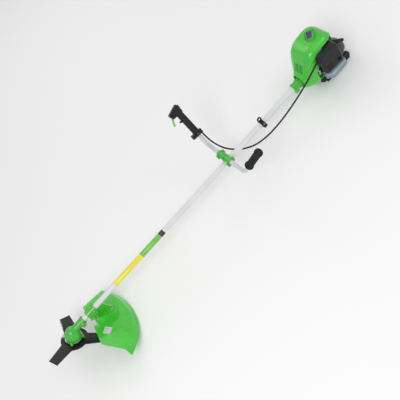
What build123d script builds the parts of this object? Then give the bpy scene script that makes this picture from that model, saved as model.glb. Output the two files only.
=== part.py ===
from build123d import *
import math
import os

# Petrol brush cutter with a three-tooth blade. It is modelled with its shaft level along +X,
# the two gear axes crossing at the origin, and is set down on the ground at the end.
# +X runs from the blade to the engine, +Y is the operator's right, +Z is up.

# ---------------------------------------------------------------- driving sizes, mm and degrees
# Fits
press_gap = 0.02
running_gap = 0.05
slip_gap = 0.15
free_gap = 0.4

# Shaft tube and drive shaft
tube_diameter = 26.0
tube_wall = 1.5
tube_front = 40.0
tube_length = 1500.0
drive_shaft_diameter = 8.0
socket_diameter = 14.0
socket_depth = 18.0
bush_length = 26.0
bush_count = 4

# Ball bearings of the gear head and the clutch drum (10 x 26 x 8), and of the crankshaft (15 x 35 x 11)
small_bearing_bore = 10.0
small_bearing_outer = 26.0
small_bearing_width = 8.0
crank_bearing_bore = 15.0
crank_bearing_outer = 35.0
crank_bearing_width = 11.0

# Gear head
blade_tilt = 27.3
pinion_teeth = 14
gear_teeth = 19
gear_cone_distance = 20.0
gear_face_width = 6.0
gear_tooth_depth = 1.6
gear_back = 12.4
case_radius = 38.5
case_bottom = 36.0
case_top = 26.0
neck_diameter = 36.0
neck_length = 80.0
head_bolt_circle = 45.0
head_bolt_turn = 10.0
dust_cover_height = 4.0

# Blade and its clamp
blade_drop = 50.0
blade_diameter = 300.0
blade_thickness = 2.0
blade_bore = 25.4
blade_tip_width = 50.0
blade_root_width = 67.0
blade_hub_radius = 64.0
blade_turn = -36.0
flange_diameter = 58.0
flange_thickness = 5.0
lower_flange_thickness = 3.0
cup_diameter = 62.0
cup_height = 15.0
cup_wall = 1.5
nut_across_flats = 17.0
nut_height = 9.0

# Guard
guard_plate_height = -18.0
guard_wall = 2.6
guard_skirt_radius = 272.0
guard_skirt_flare = 27.0
guard_skirt_drop = 32.0
guard_left_angle = 56.0
guard_right_angle = 34.0
guard_front = 104.0
guard_boss_height = 36.0
guard_clamp_front = 104.0
guard_clamp_length = 50.0
guard_clamp_radius = 19.5

# Handlebars
handle_position = 1052.0
handle_bar_height = 27.0
handle_bar_diameter = 20.0
handle_bar_wall = 1.6
handle_bar_leg = 145.0
handle_bar_bend = 34.0
handle_arm_length = 185.0
handle_arm_rise = 57.0
right_arm_sweep = 4.0
left_arm_sweep = 31.0
bracket_half_width = 46.0
bracket_length = 34.0
grip_diameter = 33.0
grip_length = 122.0

# Throttle handle
throttle_grip_diameter = 34.0
throttle_collar_start = 58.0
throttle_collar_length = 20.0
throttle_head_start = 192.0
throttle_head_length = 46.0
throttle_head_front = 46.0
throttle_head_rear = 19.0
throttle_head_half_width = 17.0
throttle_wall = 2.4
trigger_width = 11.0

# Harness hanger and cable
hanger_position = 1283.0
hanger_width = 18.0
cable_diameter = 8.0

# Clutch and its housing
neck_end = 1495.0
engine_neck_diameter = 41.0
bell_front = 1566.0
bell_length = 35.0
bell_radius = 46.0
bell_wall = 3.0
bell_flange_radius = 54.0
drum_radius = 40.0
drum_wall = 2.5
drum_front = 1573.0
drum_depth = 24.0
shoe_gap = 1.0
shoe_width = 16.0
shoe_count = 3

# Flywheel and fan
flywheel_radius = 50.0
flywheel_front = 1621.0
flywheel_thickness = 12.0
flywheel_hub_radius = 14.0
fan_blade_height = 13.0
fan_blade_count = 14

# Crankcase, crankshaft, cylinder and piston
crankcase_front_face = 1642.0
crankcase_length = 70.0
crankcase_half_width = 36.0
crankcase_floor = -40.0
crankcase_deck = 34.0
crank_web_radius = 27.0
crank_web_thickness = 10.0
crank_throw = 16.5
conrod_length = 52.0
conrod_thickness = 10.0
cylinder_bore = 44.0
cylinder_wall = 5.0
piston_height = 28.0
piston_crown = 15.5
fin_thickness = 2.0
fin_pitch = 6.0
fin_count = 9
fin_half_width = 44.0
fin_half_length = 33.0

# Engine covers: X of each section, half width, bottom, top, lower and upper corner radius
shroud_wall = 2.6
shroud_seam = 1606.0
shroud_neck_hole = 66.0
shroud_sections = [
    (1540, 36, -36, 38, 32, 32),
    (1556, 46, -46, 50, 36, 34),
    (1581, 61, -54, 92, 46, 36),
    (1608, 70, -58, 132, 52, 36),
    (1650, 77, -58, 147, 54, 36),
    (1705, 78, -58, 151, 54, 36),
    (1742, 74, -58, 139, 54, 40),
    (1757, 65, -52, 120, 50, 40),
]

# Carburettor, air filter and muffler
carburettor_inner = -48.0
filter_inner = -79.0
filter_base_depth = 9.0
filter_depth = 32.0
filter_front = 1622.0
filter_length = 112.0
filter_bottom = 8.0
filter_top = 120.0
filter_corner = 24.0
filter_wall = 2.2
muffler_inner = 58.0
muffler_depth = 42.0
muffler_wall = 2.2

# Starter
starter_wall = 2.6
starter_sections = [
    (1731, 64, -62, 64, 52, 50),
    (1757, 62, -62, 58, 50, 48),
    (1781, 50, -56, 34, 42, 40),
    (1798, 38, -46, 14, 28, 28),
    (1808, 25, -36, -2, 16, 16),
]
reel_radius = 36.0
reel_width = 12.0
reel_front = 1758.0

starter_bar_turn = 36.0

# Fuel tank and its stand
tank_front = 1606.0
tank_length = 164.0
tank_half_width = 56.0
tank_corner_cut = 68.0
tank_top = -64.0
tank_bottom = -98.0
tank_wall = 2.4
stand_half_width = 32.0
stand_rail_width = 12.0
stand_heel = 1802.0
stand_heel_height = -105.0

ABOVE = (Align.CENTER, Align.CENTER, Align.MIN)
BELOW = (Align.CENTER, Align.CENTER, Align.MAX)

pieces = {}


# ---------------------------------------------------------------- shared shapes
def rod_x(start, end, diameter, y=0.0, z=0.0):
    """A round bar along X from start to end."""
    return Pos(start, y, z) * Rot(0, 90, 0) * Cylinder(diameter / 2, end - start, align=ABOVE)


def rod_y(start, end, diameter, x=0.0, z=0.0):
    """A round bar along Y from start to end."""
    return Pos(x, start, z) * Rot(-90, 0, 0) * Cylinder(diameter / 2, end - start, align=ABOVE)


def rod_z(start, end, diameter, x=0.0, y=0.0):
    """A round bar along Z from start to end."""
    return Pos(x, y, start) * Cylinder(diameter / 2, end - start, align=ABOVE)


def block(low, high):
    """A box between its lowest and its highest corner."""
    size = [b - a for a, b in zip(low, high)]
    middle = [(a + b) / 2 for a, b in zip(low, high)]
    return Pos(*middle) * Box(*size)


def turned_z(outline):
    """A solid turned about Z from (radius, height) points."""
    points = [(r, 0, z) for r, z in outline]
    return revolve(make_face(Polyline(*points, close=True)), Axis.Z)


def turned_x(outline):
    """A solid turned about X from (x, radius) points."""
    points = [(x, 0, r) for x, r in outline]
    return revolve(make_face(Polyline(*points, close=True)), Axis.X)


def ball_bearing(bore, outer, width):
    """A closed ball bearing along Z, with grooves where its shields sit between the rings."""
    ring = Cylinder(outer / 2, width, align=ABOVE) - Cylinder(bore / 2, width, align=ABOVE)
    mid = (bore + outer) / 4
    groove = Cylinder(mid + 2, 0.5, align=ABOVE) - Cylinder(mid - 2, 0.5, align=ABOVE)
    return ring - groove - Pos(0, 0, width - 0.5) * groove


def socket_screw(diameter, length):
    """A cap screw pointing down -Z, with the underside of its head at the origin."""
    head = Cylinder(diameter * 0.8, diameter, align=ABOVE)
    shank = Cylinder(diameter / 2, length, align=BELOW)
    hexagon = extrude(RegularPolygon(diameter * 0.45, 6), diameter * 0.6)
    return head + shank - Pos(0, 0, diameter * 0.45) * hexagon


def hex_bolt(diameter, across_flats, head_height, length):
    """A hexagon bolt pointing down -Z, with the underside of its head at the origin."""
    head = extrude(RegularPolygon(across_flats / 2, 6, major_radius=False), head_height)
    return head + Cylinder(diameter / 2, length, align=BELOW)


# ---------------------------------------------------------------- gear head
# The blade axis leans back over the shaft, so that the blade lies flat as the operator holds the
# shaft. Everything on the blade axis is drawn upright, then leant by HEAD.
HEAD = Rot(0, blade_tilt, 0)
shaft_angle = math.radians(90 + blade_tilt)
pinion_cone = math.atan(math.sin(shaft_angle) / (gear_teeth / pinion_teeth + math.cos(shaft_angle)))
gear_cone = shaft_angle - pinion_cone
spindle_diameter = small_bearing_bore
first_bearing = -gear_back - 0.6
second_bearing = first_bearing - small_bearing_width - 1.0
bearing_floor = second_bearing - small_bearing_width


def bevel_gear_blank(cone_angle, teeth, back, bore):
    """A bevel gear about -Z with its apex at the origin. Its teeth stop short of the pitch cone."""
    gap = 0.25
    outer = gear_cone_distance
    inner = gear_cone_distance - gear_face_width
    outline = []
    for distance in (inner, outer):
        radius = distance * math.sin(cone_angle) - gap * math.cos(cone_angle)
        height = -distance * math.cos(cone_angle) - gap * math.sin(cone_angle)
        outline.append((radius, height))
    rim = outline[1][0]
    outline += [(rim - 1.5, outline[1][1] - 2.5), (rim - 1.5, -back), (bore / 2, -back)]
    outline += [(bore / 2, outline[0][1])]
    blank = turned_z(outline)
    groove_width = 0.5 * 2 * math.pi * rim / teeth
    middle = gear_cone_distance - gear_face_width / 2
    groove = Pos(0, 0, 0) * Rot(0, 180 - math.degrees(cone_angle), 0) * Pos(0, 0, middle)
    groove = groove * Box(2 * gear_tooth_depth, groove_width, 2 * gear_face_width)
    for tooth in range(teeth):
        blank -= Rot(0, 0, 360 * (tooth + 0.5) / teeth) * groove
    return blank


def make_gear_case():
    """The cast case: a rounded pot about the blade axis, with a neck that clamps on the tube."""
    dome = [(0, case_top), (12, case_top - 1), (23, 17), (31, 4), (36.5, -10)]
    wall = [(case_radius, -20), (case_radius, 2 - case_bottom), (case_radius - 2, -case_bottom)]
    outline = [(r, 0, z) for r, z in dome + wall]
    edge = Spline(*outline[:6]) + Polyline(*outline[5:], (0, 0, -case_bottom), outline[0])
    pot = HEAD * revolve(make_face(edge), Axis.Z)
    neck = rod_x(6, neck_length, neck_diameter)
    rib = Pos(neck_length - 8, 0, 0) * Rot(0, 90, 0) * Cylinder(neck_diameter / 2 + 2, 8, align=ABOVE)
    ears = block((neck_length - 24, -neck_diameter / 2 - 13, -10), (neck_length - 6, 0, 10))
    lugs = Part()
    for turn in (45, 135, 225, 315):
        lug = Rot(0, 0, turn + head_bolt_turn) * Pos(head_bolt_circle, 0, -case_bottom)
        lugs += lug * Cylinder(6.5, 9, align=ABOVE)
        lugs += Rot(0, 0, turn + head_bolt_turn) * block(
            (case_radius - 6, -5, -case_bottom), (head_bolt_circle, 5, 9 - case_bottom))
    case = pot + neck + rib + ears + HEAD * lugs
    room = Sphere(gear_cone_distance + 0.8) + rod_x(0, 22, 31)
    room += HEAD * rod_z(first_bearing, 0, 2 * (gear_cone_distance + 0.6))
    case -= room + rod_x(20, neck_length + 1, tube_diameter)
    case -= HEAD * rod_z(bearing_floor, 0, small_bearing_outer)
    case -= HEAD * rod_z(-case_bottom - 1, 0, 17)
    case -= block((neck_length - 26, -neck_diameter, -1), (neck_length + 1, 0, 1))
    case -= rod_z(-11, 11, 5.2, neck_length - 15, -neck_diameter / 2 - 7)
    for turn in (45, 135, 225, 315):
        hole = Rot(0, 0, turn + head_bolt_turn) * Pos(head_bolt_circle, 0, -case_bottom - 1)
        case -= HEAD * hole * Cylinder(2.6, 12, align=ABOVE)
    return case


def make_output_spindle():
    """The blade spindle: gear seat, bearing seats and the threaded end for the nut."""
    end = -blade_drop - 1 - lower_flange_thickness - nut_height - 5
    spindle = rod_z(end, -1.0, spindle_diameter - 2 * press_gap)
    return spindle + rod_z(-3.6, -0.6, spindle_diameter + 2)


def make_dust_cover():
    """The bright ring under the case that closes the bearing bore and keeps grass out."""
    low = -case_bottom - dust_cover_height
    ring = turned_z([(13, -case_bottom), (case_radius + free_gap, -case_bottom),
                     (case_radius + free_gap, -case_bottom + 3), (case_radius + 2.2, -case_bottom + 3),
                     (case_radius + 2.2, -case_bottom - 1.5), (case_radius - 1, low), (13, low)])
    for turn in (45, 135, 225, 315):
        lug = Rot(0, 0, turn + head_bolt_turn) * Pos(head_bolt_circle, 0, 1 - case_bottom)
        ring -= lug * Cylinder(9, 10)
    return ring


head_dust_cover = HEAD * make_dust_cover()
pieces["gear_case"] = make_gear_case()
pieces["head_dust_cover"] = head_dust_cover

gear = bevel_gear_blank(gear_cone, gear_teeth, gear_back, spindle_diameter + 2 * press_gap)
pieces["bevel_gear"] = HEAD * gear
pieces["output_spindle"] = HEAD * make_output_spindle()

pinion = bevel_gear_blank(pinion_cone, pinion_teeth, 18.0, small_bearing_bore - 1)
pinion_axis = Rot(0, -90, 0)
pinion_bearing = 22.0
second_pinion_bearing = pinion_bearing + small_bearing_width + 1
socket_start = second_pinion_bearing + small_bearing_width + 0.5
pinion_stem = rod_x(gear_cone_distance * 0.55, socket_start + 1, small_bearing_bore - 2 * press_gap)
pinion_socket = rod_x(socket_start, socket_start + socket_depth + 3, socket_diameter)
pinion_socket -= rod_x(socket_start + 3, socket_start + socket_depth + 4,
                       drive_shaft_diameter + 2 * press_gap)
half_tooth = Rot(180 / pinion_teeth, 0, 0)
pieces["bevel_pinion"] = half_tooth * pinion_axis * pinion + pinion_stem + pinion_socket

bearing = ball_bearing(small_bearing_bore, small_bearing_outer - 2 * press_gap, small_bearing_width)
drum_bearings = [neck_end + 46, neck_end + 46 + small_bearing_width + 1]
bearing_places = [HEAD * Pos(0, 0, first_bearing - small_bearing_width), HEAD * Pos(0, 0, bearing_floor)]
for start in [pinion_bearing, second_pinion_bearing] + drum_bearings:
    bearing_places.append(Pos(start, 0, 0) * Rot(0, 90, 0))
pieces["ball_bearings"] = Compound([place * bearing for place in bearing_places])

bolt = hex_bolt(5, 8, 3.5, 8)
head_bolts = []
for turn in (45, 135, 225, 315):
    seat = Rot(0, 0, turn + head_bolt_turn) * Pos(head_bolt_circle, 0, 9 - case_bottom)
    head_bolts.append(HEAD * seat * bolt)
clamp_bolt_place = Pos(neck_length - 15, -neck_diameter / 2 - 7, 10)
head_bolts.append(clamp_bolt_place * hex_bolt(5, 8, 3.5, 22))
pieces["head_bolts"] = Compound(head_bolts)

# ---------------------------------------------------------------- blade and its clamp
blade_top = -blade_drop + blade_thickness / 2
blade_bottom = blade_top - blade_thickness


def make_blade():
    """Three straight arms on a round hub, each ground to a bevel along both edges."""
    hub = Circle(blade_hub_radius)
    tip = math.sqrt((blade_diameter / 2) ** 2 - (blade_tip_width / 2) ** 2)
    root = blade_hub_radius * 0.55
    outline = [(root, -blade_root_width / 2), (tip, -blade_tip_width / 2),
               (tip, blade_tip_width / 2), (root, blade_root_width / 2)]
    plan = hub
    for arm in range(3):
        plan += Rot(0, 0, blade_turn + 120 * arm) * make_face(Polyline(*outline, close=True))
    plan = fillet(plan.vertices().filter_by(lambda v: v.center().length < 0.9 * tip), 9)
    blade = Pos(0, 0, blade_bottom) * extrude(plan, blade_thickness)
    lean = math.degrees(math.atan((blade_root_width - blade_tip_width) / 2 / (tip - root)))
    bevel = extrude(make_face(Polyline((0, 0), (5, 0), (0, 1.4), close=True)), 58)
    for arm in range(3):
        for side in (1, -1):
            edge = Pos(tip - 60, side * blade_tip_width / 2, blade_bottom)
            edge = Rot(0, 0, blade_turn + 120 * arm) * edge
            grind = Pos(0, side * 1.5, 0) * Rot(0, 0, -side * lean) * Rot(0, 90, 0)
            wedge = Rot(0, 0, 90 * (1 + side)) * bevel
            blade -= edge * grind * wedge
    return blade - rod_z(blade_bottom - 1, blade_top + 1, blade_bore)


def make_upper_flange():
    """The splined holder above the blade, with the pilot that centres it and its locking hole."""
    base = blade_top + flange_thickness
    pilot = blade_top - blade_thickness * 0.7
    flange = turned_z([(spindle_diameter / 2 + press_gap, pilot), (blade_bore / 2 - running_gap, pilot),
                       (blade_bore / 2 - running_gap, blade_top), (flange_diameter / 2, blade_top),
                       (flange_diameter / 2, base - 1), (flange_diameter / 2 - 1, base), (12, base),
                       (8, base + 5), (8, bearing_floor - 4), (7, bearing_floor),
                       (spindle_diameter / 2 + press_gap, bearing_floor)])
    return flange - rod_z(blade_top, base + 1, 5, flange_diameter / 2 - 6)


def make_nut_cup():
    """The smooth glide cup under the blade that keeps the nut off the ground."""
    top = blade_bottom - lower_flange_thickness
    r = cup_diameter / 2
    outer = [(0, top - cup_height), (r * 0.55, top - cup_height), (r * 0.85, top - cup_height * 0.7),
             (r, top - cup_height * 0.25), (r, top), (0, top)]
    cup = turned_z(outer)
    hollow = [(0, top + 1), (r - cup_wall, top + 1), (r - cup_wall, top - cup_height * 0.25),
              (r * 0.83 - cup_wall, top - cup_height * 0.68), (r * 0.52, top - cup_height + cup_wall),
              (0, top - cup_height + cup_wall)]
    floor = turned_z([(0, top), (17, top), (17, top - 2), (0, top - 2)])
    post = turned_z([(13.5, top), (17, top), (17, top - cup_height + 1), (13.5, top - cup_height + 1)])
    cup = cup - turned_z(hollow) + floor + post
    cup -= rod_z(top - 2.1, top + 1, spindle_diameter + 1)
    return cup - rod_z(top - cup_height - 1, top - 2, 27)


lower_flange_top = blade_bottom
cup_top = blade_bottom - lower_flange_thickness
lower_flange = turned_z([(spindle_diameter / 2 + press_gap, cup_top), (flange_diameter / 2 - 4, cup_top),
                         (flange_diameter / 2 - 4, lower_flange_top),
                         (spindle_diameter / 2 + press_gap, lower_flange_top)])
nut_top = cup_top - 2
nut = Pos(0, 0, nut_top - nut_height) * extrude(RegularPolygon(nut_across_flats / 2, 6, major_radius=False),
                                                nut_height)
nut -= rod_z(nut_top - nut_height - 1, nut_top + 1, spindle_diameter + 2 * press_gap)
pieces["upper_flange"] = HEAD * make_upper_flange()
pieces["blade"] = HEAD * make_blade()
pieces["lower_flange"] = HEAD * lower_flange
pieces["nut_cup"] = HEAD * make_nut_cup()
pieces["blade_nut"] = HEAD * nut

# ---------------------------------------------------------------- shaft tube and drive shaft
tube_rear = tube_front + tube_length
tube_bore = tube_diameter - 2 * tube_wall
drum_socket_start = drum_bearings[0] - 0.5 - socket_depth - 3
shaft_front = socket_start + 3.5
shaft_rear = drum_bearings[0] - 4
tube = rod_x(tube_front, tube_rear, tube_diameter)
pieces["shaft_tube"] = tube - rod_x(tube_front - 1, tube_rear + 1, tube_bore)
pieces["drive_shaft"] = rod_x(shaft_front, shaft_rear, drive_shaft_diameter)
bush = Cylinder(tube_bore / 2 - press_gap, bush_length)
bush -= Cylinder(drive_shaft_diameter / 2 + running_gap, bush_length)
bush_spacing = tube_length / (bush_count + 1)
bushes = [Pos(tube_front + bush_spacing * (n + 1), 0, 0) * Rot(0, 90, 0) * bush for n in range(bush_count)]
pieces["shaft_bushes"] = Compound(bushes)

# ---------------------------------------------------------------- guard
# Drawn in the blade's own frame: x runs back from the spindle, y to the right, z along the spindle.
guard_top = guard_plate_height
guard_rim_radius = guard_skirt_radius + guard_skirt_flare


def fan_outline(radius, front, left_front, right_front, notch):
    """The plan of the guard: a straight front with a notch, two straight sides and a round back."""
    left = math.radians(guard_left_angle)
    right = math.radians(guard_right_angle)
    back_left = (radius * math.cos(left), -radius * math.sin(left))
    back_right = (radius * math.cos(right), radius * math.sin(right))
    arc = ThreePointArc(back_right, (radius, 0), back_left)
    rest = Polyline(back_left, (left_front[0], -left_front[1]), (front - 6, -notch),
                    (front + 14, -notch + 6),
                    (front + 14, notch - 8), (front, notch - 4), right_front, back_right)
    return make_face(arc + rest)


guard_screws = [(146, 0), (206, 0), (170, 20), (170, -20)]
guard_boss_top = guard_top + guard_boss_height


def make_guard():
    """The moulded guard: a flat plate, a flared skirt round its back and a raised boss for the bracket."""
    plate = Pos(0, 0, guard_top - guard_wall) * extrude(
        fan_outline(guard_skirt_radius, guard_front, (80, 132), (106, 116), 22), guard_wall)
    low = guard_top - guard_skirt_drop
    rim = guard_rim_radius
    thick = guard_wall * 1.15
    section = [(guard_skirt_radius - thick, guard_top - guard_wall), (guard_skirt_radius - thick, guard_top),
               (guard_skirt_radius, guard_top), (rim, low), (rim - 1, low - 1.5), (rim - thick, low)]
    face = make_face(Polyline(*[(r, 0, z) for r, z in section], close=True))
    sweep_angle = guard_left_angle + guard_right_angle
    skirt = revolve(Rot(0, 0, -guard_left_angle) * face, Axis.Z, sweep_angle)
    low_sketch = Pos(176, 0, guard_top - 0.1) * RectangleRounded(104, 82, 18)
    high_sketch = Pos(176, 0, guard_top + guard_boss_height) * RectangleRounded(84, 62, 14)
    boss = loft([low_sketch.face(), high_sketch.face()])
    low_hollow = Pos(176, 0, guard_top - guard_wall - 1) * RectangleRounded(100, 78, 16)
    high_hollow = Pos(176, 0, guard_top + guard_boss_height - guard_wall) * RectangleRounded(79, 57, 12)
    hollow = loft([low_hollow.face(), high_hollow.face()])
    guard = plate + skirt + boss - hollow
    for x, y in guard_screws:
        guard -= Pos(x, y, guard_top + guard_boss_height) * Cylinder(2.7, 12)
    return guard


def make_guard_bracket():
    """The cast bracket: half a clamp under the tube, a web, and a foot screwed to the guard's boss."""
    foot = Pos(176, 0, guard_boss_top) * extrude(RectangleRounded(76, 54, 10), 5)
    web = [(142, guard_boss_top + 3), (212, guard_boss_top + 3), (206, guard_boss_top + 9), (168, 78),
           (96, 42)]
    rib = make_face(Polyline(*[(x, 0, z) for x, z in web], close=True))
    bracket = HEAD * (foot + extrude(rib, 7, both=True))
    bracket += rod_x(guard_clamp_front, guard_clamp_front + guard_clamp_length, 2 * guard_clamp_radius)
    bracket += guard_clamp_ears()
    bracket -= block((0, -60, 0), (400, 60, 100))
    bracket -= rod_x(0, 400, tube_diameter)
    for x, y in guard_screws:
        bracket -= HEAD * Pos(x, y, guard_boss_top - 1) * Cylinder(2.7, 40, align=ABOVE)
        bracket -= HEAD * Pos(x, y, guard_boss_top + 5) * Cylinder(4 + free_gap, 40, align=ABOVE)
    for x, y in guard_clamp_screws:
        bracket -= rod_z(-30, 1, 5.4, x, y)
    return bracket


def guard_clamp_ears():
    """The two flat flanges either side of the tube where the clamp's halves are screwed together."""
    start = guard_clamp_front
    end = guard_clamp_front + guard_clamp_length
    ears = Part()
    for side in (-1, 1):
        low, high = sorted((side * 14, side * (guard_clamp_radius + 11)))
        ears += block((start + 3, low, -7), (end - 3, high, 7))
    return ears


def make_guard_cap():
    """The upper half of the guard's clamp."""
    cap = rod_x(guard_clamp_front, guard_clamp_front + guard_clamp_length, 2 * guard_clamp_radius)
    cap += guard_clamp_ears()
    cap -= block((0, -60, -60), (400, 60, 1))
    cap -= rod_x(0, 400, tube_diameter)
    for x, y in guard_clamp_screws:
        cap -= rod_z(0, 30, 5.4, x, y)
    return cap


clamp_screw_y = guard_clamp_radius + 4
guard_clamp_screws = [(guard_clamp_front + offset, side * clamp_screw_y)
                      for offset in (12, guard_clamp_length - 12) for side in (-1, 1)]
screw_places = [HEAD * Pos(x, y, guard_boss_top + 5) for x, y in guard_screws]
screw_places += [Pos(x, y, 7) for x, y in guard_clamp_screws]
pieces["guard"] = HEAD * make_guard()
pieces["guard_bracket"] = make_guard_bracket()
pieces["guard_cap"] = make_guard_cap()

# ---------------------------------------------------------------- handlebars and their bracket
# Two J-shaped bars meet end to end in the bracket. Each is turned back about its level leg by its
# own sweep, so that the left hand and the right hand sit where the operator wants them.


def arm_location(side, sweep):
    """The frame of an arm: origin at the bend, z along the arm, x towards the blade."""
    rise = math.radians(handle_arm_rise)
    turn = math.radians(sweep)
    along = (math.sin(rise) * math.sin(turn), side * math.cos(rise), math.sin(rise) * math.cos(turn))
    bend = (handle_position, side * handle_bar_leg, handle_bar_height)
    return Location(Plane(origin=bend, x_dir=(-math.cos(turn), 0, math.sin(turn)), z_dir=along))


def make_handlebar(side, arm, length):
    """A steel tube: a level leg in the bracket, one bend and a straight arm."""
    start = (handle_position, side * 1.0, handle_bar_height)
    bend = (handle_position, side * handle_bar_leg, handle_bar_height)
    end = (arm * Pos(0, 0, length)).position
    path = FilletPolyline(start, bend, end, radius=handle_bar_bend)
    profile = Circle(handle_bar_diameter / 2) - Circle(handle_bar_diameter / 2 - handle_bar_wall)
    return sweep(Plane(origin=start, z_dir=(0, side, 0)) * profile, path)


LEFT_ARM = arm_location(-1, left_arm_sweep)
RIGHT_ARM = arm_location(1, right_arm_sweep)
right_arm_length = throttle_head_start - 4
pieces["left_handlebar"] = make_handlebar(-1, LEFT_ARM, handle_arm_length)
pieces["right_handlebar"] = make_handlebar(1, RIGHT_ARM, right_arm_length)

bracket_screw_x = handle_bar_diameter / 2 + 7
bracket_screw_y = bracket_half_width - 9
bracket_screws = []
for i in (-1, 1):
    for j in (-1, 1):
        bracket_screws.append((handle_position + i * bracket_screw_x, j * bracket_screw_y))
bracket_pad = 6.5


def make_handle_base():
    """The lower casting: a split ring that pinches the tube, under a cradle for both bars."""
    x = handle_position
    half = bracket_length / 2
    ring = rod_x(x - half, x + half, tube_diameter + 11)
    ears = block((x - half, -9, -tube_diameter / 2 - 17), (x + half, 9, 0))
    cradle = rod_y(-bracket_half_width, bracket_half_width, handle_bar_diameter + 11, x, handle_bar_height)
    cheek = block((x - half, -20, 0), (x + half, 20, handle_bar_height))
    base = ring + ears + cradle + cheek
    for sx, sy in bracket_screws:
        base += rod_z(handle_bar_height - 13, handle_bar_height, 2 * bracket_pad, sx, sy)
        base += block((min(x, sx), sy - 4, handle_bar_height - 11), (max(x, sx), sy + 4, handle_bar_height))
    base -= block((x - 60, -90, handle_bar_height), (x + 60, 90, 90))
    base -= rod_x(x - 60, x + 60, tube_diameter)
    base -= rod_y(-90, 90, handle_bar_diameter, x, handle_bar_height)
    base -= block((x - 60, -1.2, -60), (x + 60, 1.2, 0))
    base -= rod_y(-9, 9, 5.4, x, -tube_diameter / 2 - 10)
    for sx, sy in bracket_screws:
        base -= rod_z(handle_bar_height - 12, handle_bar_height + 1, 5.2, sx, sy)
    return base


def make_handle_cap():
    """The upper casting, screwed down over both bars."""
    x = handle_position
    cap = rod_y(-bracket_half_width, bracket_half_width, handle_bar_diameter + 11, x, handle_bar_height)
    for sx, sy in bracket_screws:
        cap += rod_z(handle_bar_height, handle_bar_height + 8, 2 * bracket_pad, sx, sy)
        cap += block((min(x, sx), sy - 4, handle_bar_height), (max(x, sx), sy + 4, handle_bar_height + 7))
    cap += rod_y(-5, 5, handle_bar_diameter + 16, x, handle_bar_height)
    cap -= block((x - 60, -90, 0), (x + 60, 90, handle_bar_height + 1))
    cap -= rod_y(-90, 90, handle_bar_diameter, x, handle_bar_height)
    for sx, sy in bracket_screws:
        cap -= rod_z(handle_bar_height, handle_bar_height + 20, 5.4, sx, sy)
        cap -= rod_z(handle_bar_height + 8, handle_bar_height + 20, 9.0, sx, sy)
    return cap


pieces["handle_base"] = make_handle_base()
pieces["handle_cap"] = make_handle_cap()
screw_places += [Pos(x, y, handle_bar_height + 8) for x, y in bracket_screws]
screw_places += [Pos(handle_position, 9, -tube_diameter / 2 - 10) * Rot(-90, 0, 0)]


def make_left_grip():
    """The moulded rubber grip, closed at its outer end, with finger rings and a flange each end."""
    start = handle_arm_length - grip_length
    end = handle_arm_length + 4
    r = grip_diameter / 2
    outline = [(handle_bar_diameter / 2 + press_gap, start), (r + 4.5, start), (r + 4.5, start + 4),
               (r, start + 8)]
    for step in range(7):
        z = start + 14 + step * 13
        outline += [(r + 0.6, z), (r + 0.6, z + 8), (r - 1.2, z + 9.5), (r - 1.2, z + 11.5)]
    outline += [(r + 3, end - 9), (r + 3, end - 3), (r, end), (0, end), (0, handle_arm_length + press_gap)]
    outline += [(handle_bar_diameter / 2 + press_gap, handle_arm_length + press_gap)]
    return LEFT_ARM * turned_z(outline)


pieces["left_grip"] = make_left_grip()

# ---------------------------------------------------------------- throttle handle
# Drawn in the right arm's frame: x towards the blade, y inboard and up, z along the arm.
head_low = throttle_head_start
head_high = head_low + throttle_head_length
trigger_pivot = (24.0, head_low + 22.0)
lock_middle = head_low + 28.0
collar_middle = throttle_collar_start + throttle_collar_length / 2
cable_exit = (-19.0, 0.0, throttle_collar_start)


def head_outline(inset):
    """The side view of the throttle head, drawn in by inset."""
    front = throttle_head_front - inset
    rear = -throttle_head_rear + inset
    points = [(rear, head_low + inset), (rear, head_high - 9 - inset), (rear + 6, head_high - inset),
              (front - 4, head_high - 17 - inset), (front, head_high - 24), (front - 8, head_low + inset)]
    return make_face(Polyline(*[(x, 0, z) for x, z in points], close=True))


def make_throttle_shell():
    """Both halves of the throttle handle in one, before they are parted."""
    r = throttle_grip_diameter / 2
    shell = extrude(head_outline(0), throttle_head_half_width, both=True)
    shell = fillet(shell.edges().filter_by(Axis.Y), 3)
    shell = chamfer(shell.faces().filter_by(Axis.Y).edges(), 2.5)
    shell += rod_z(throttle_collar_start, head_low + 2, 2 * r)
    collar = Pos(4, 0, throttle_collar_start) * extrude(RectangleRounded(60, 34, 9), throttle_collar_length)
    shell += collar
    hook = Polyline((r - 2, 0, 152), (r + 11, 0, 158), (r + 10, 0, 163), (r - 2, 0, 166), close=True)
    shell += extrude(make_face(hook), 4, both=True)
    for step in range(8):
        ring = throttle_collar_start + throttle_collar_length + 12 + step * 12
        groove = Cylinder(r + 1, 2, align=ABOVE) - Cylinder(r - 1, 2, align=ABOVE)
        shell -= Pos(0, 0, ring) * groove
    hollow = extrude(head_outline(throttle_wall), throttle_head_half_width - throttle_wall, both=True)
    shell -= hollow
    shell -= rod_z(throttle_collar_start - 1, head_low + 4, handle_bar_diameter)
    shell -= block((14, -trigger_width / 2 - 1, head_low - 1),
                   (throttle_head_front - 2, trigger_width / 2 + 1, head_low + 14))
    shell -= block((-throttle_head_rear - 1, -6.5, lock_middle - 10),
                   (-throttle_head_rear + 6, 6.5, lock_middle + 10))
    shell -= block((-7, 9, collar_middle - 3.5), (15, 18, collar_middle + 3.5))
    shell -= rod_y(-12, 12, 5 + 2 * running_gap, *trigger_pivot)
    return shell


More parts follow.
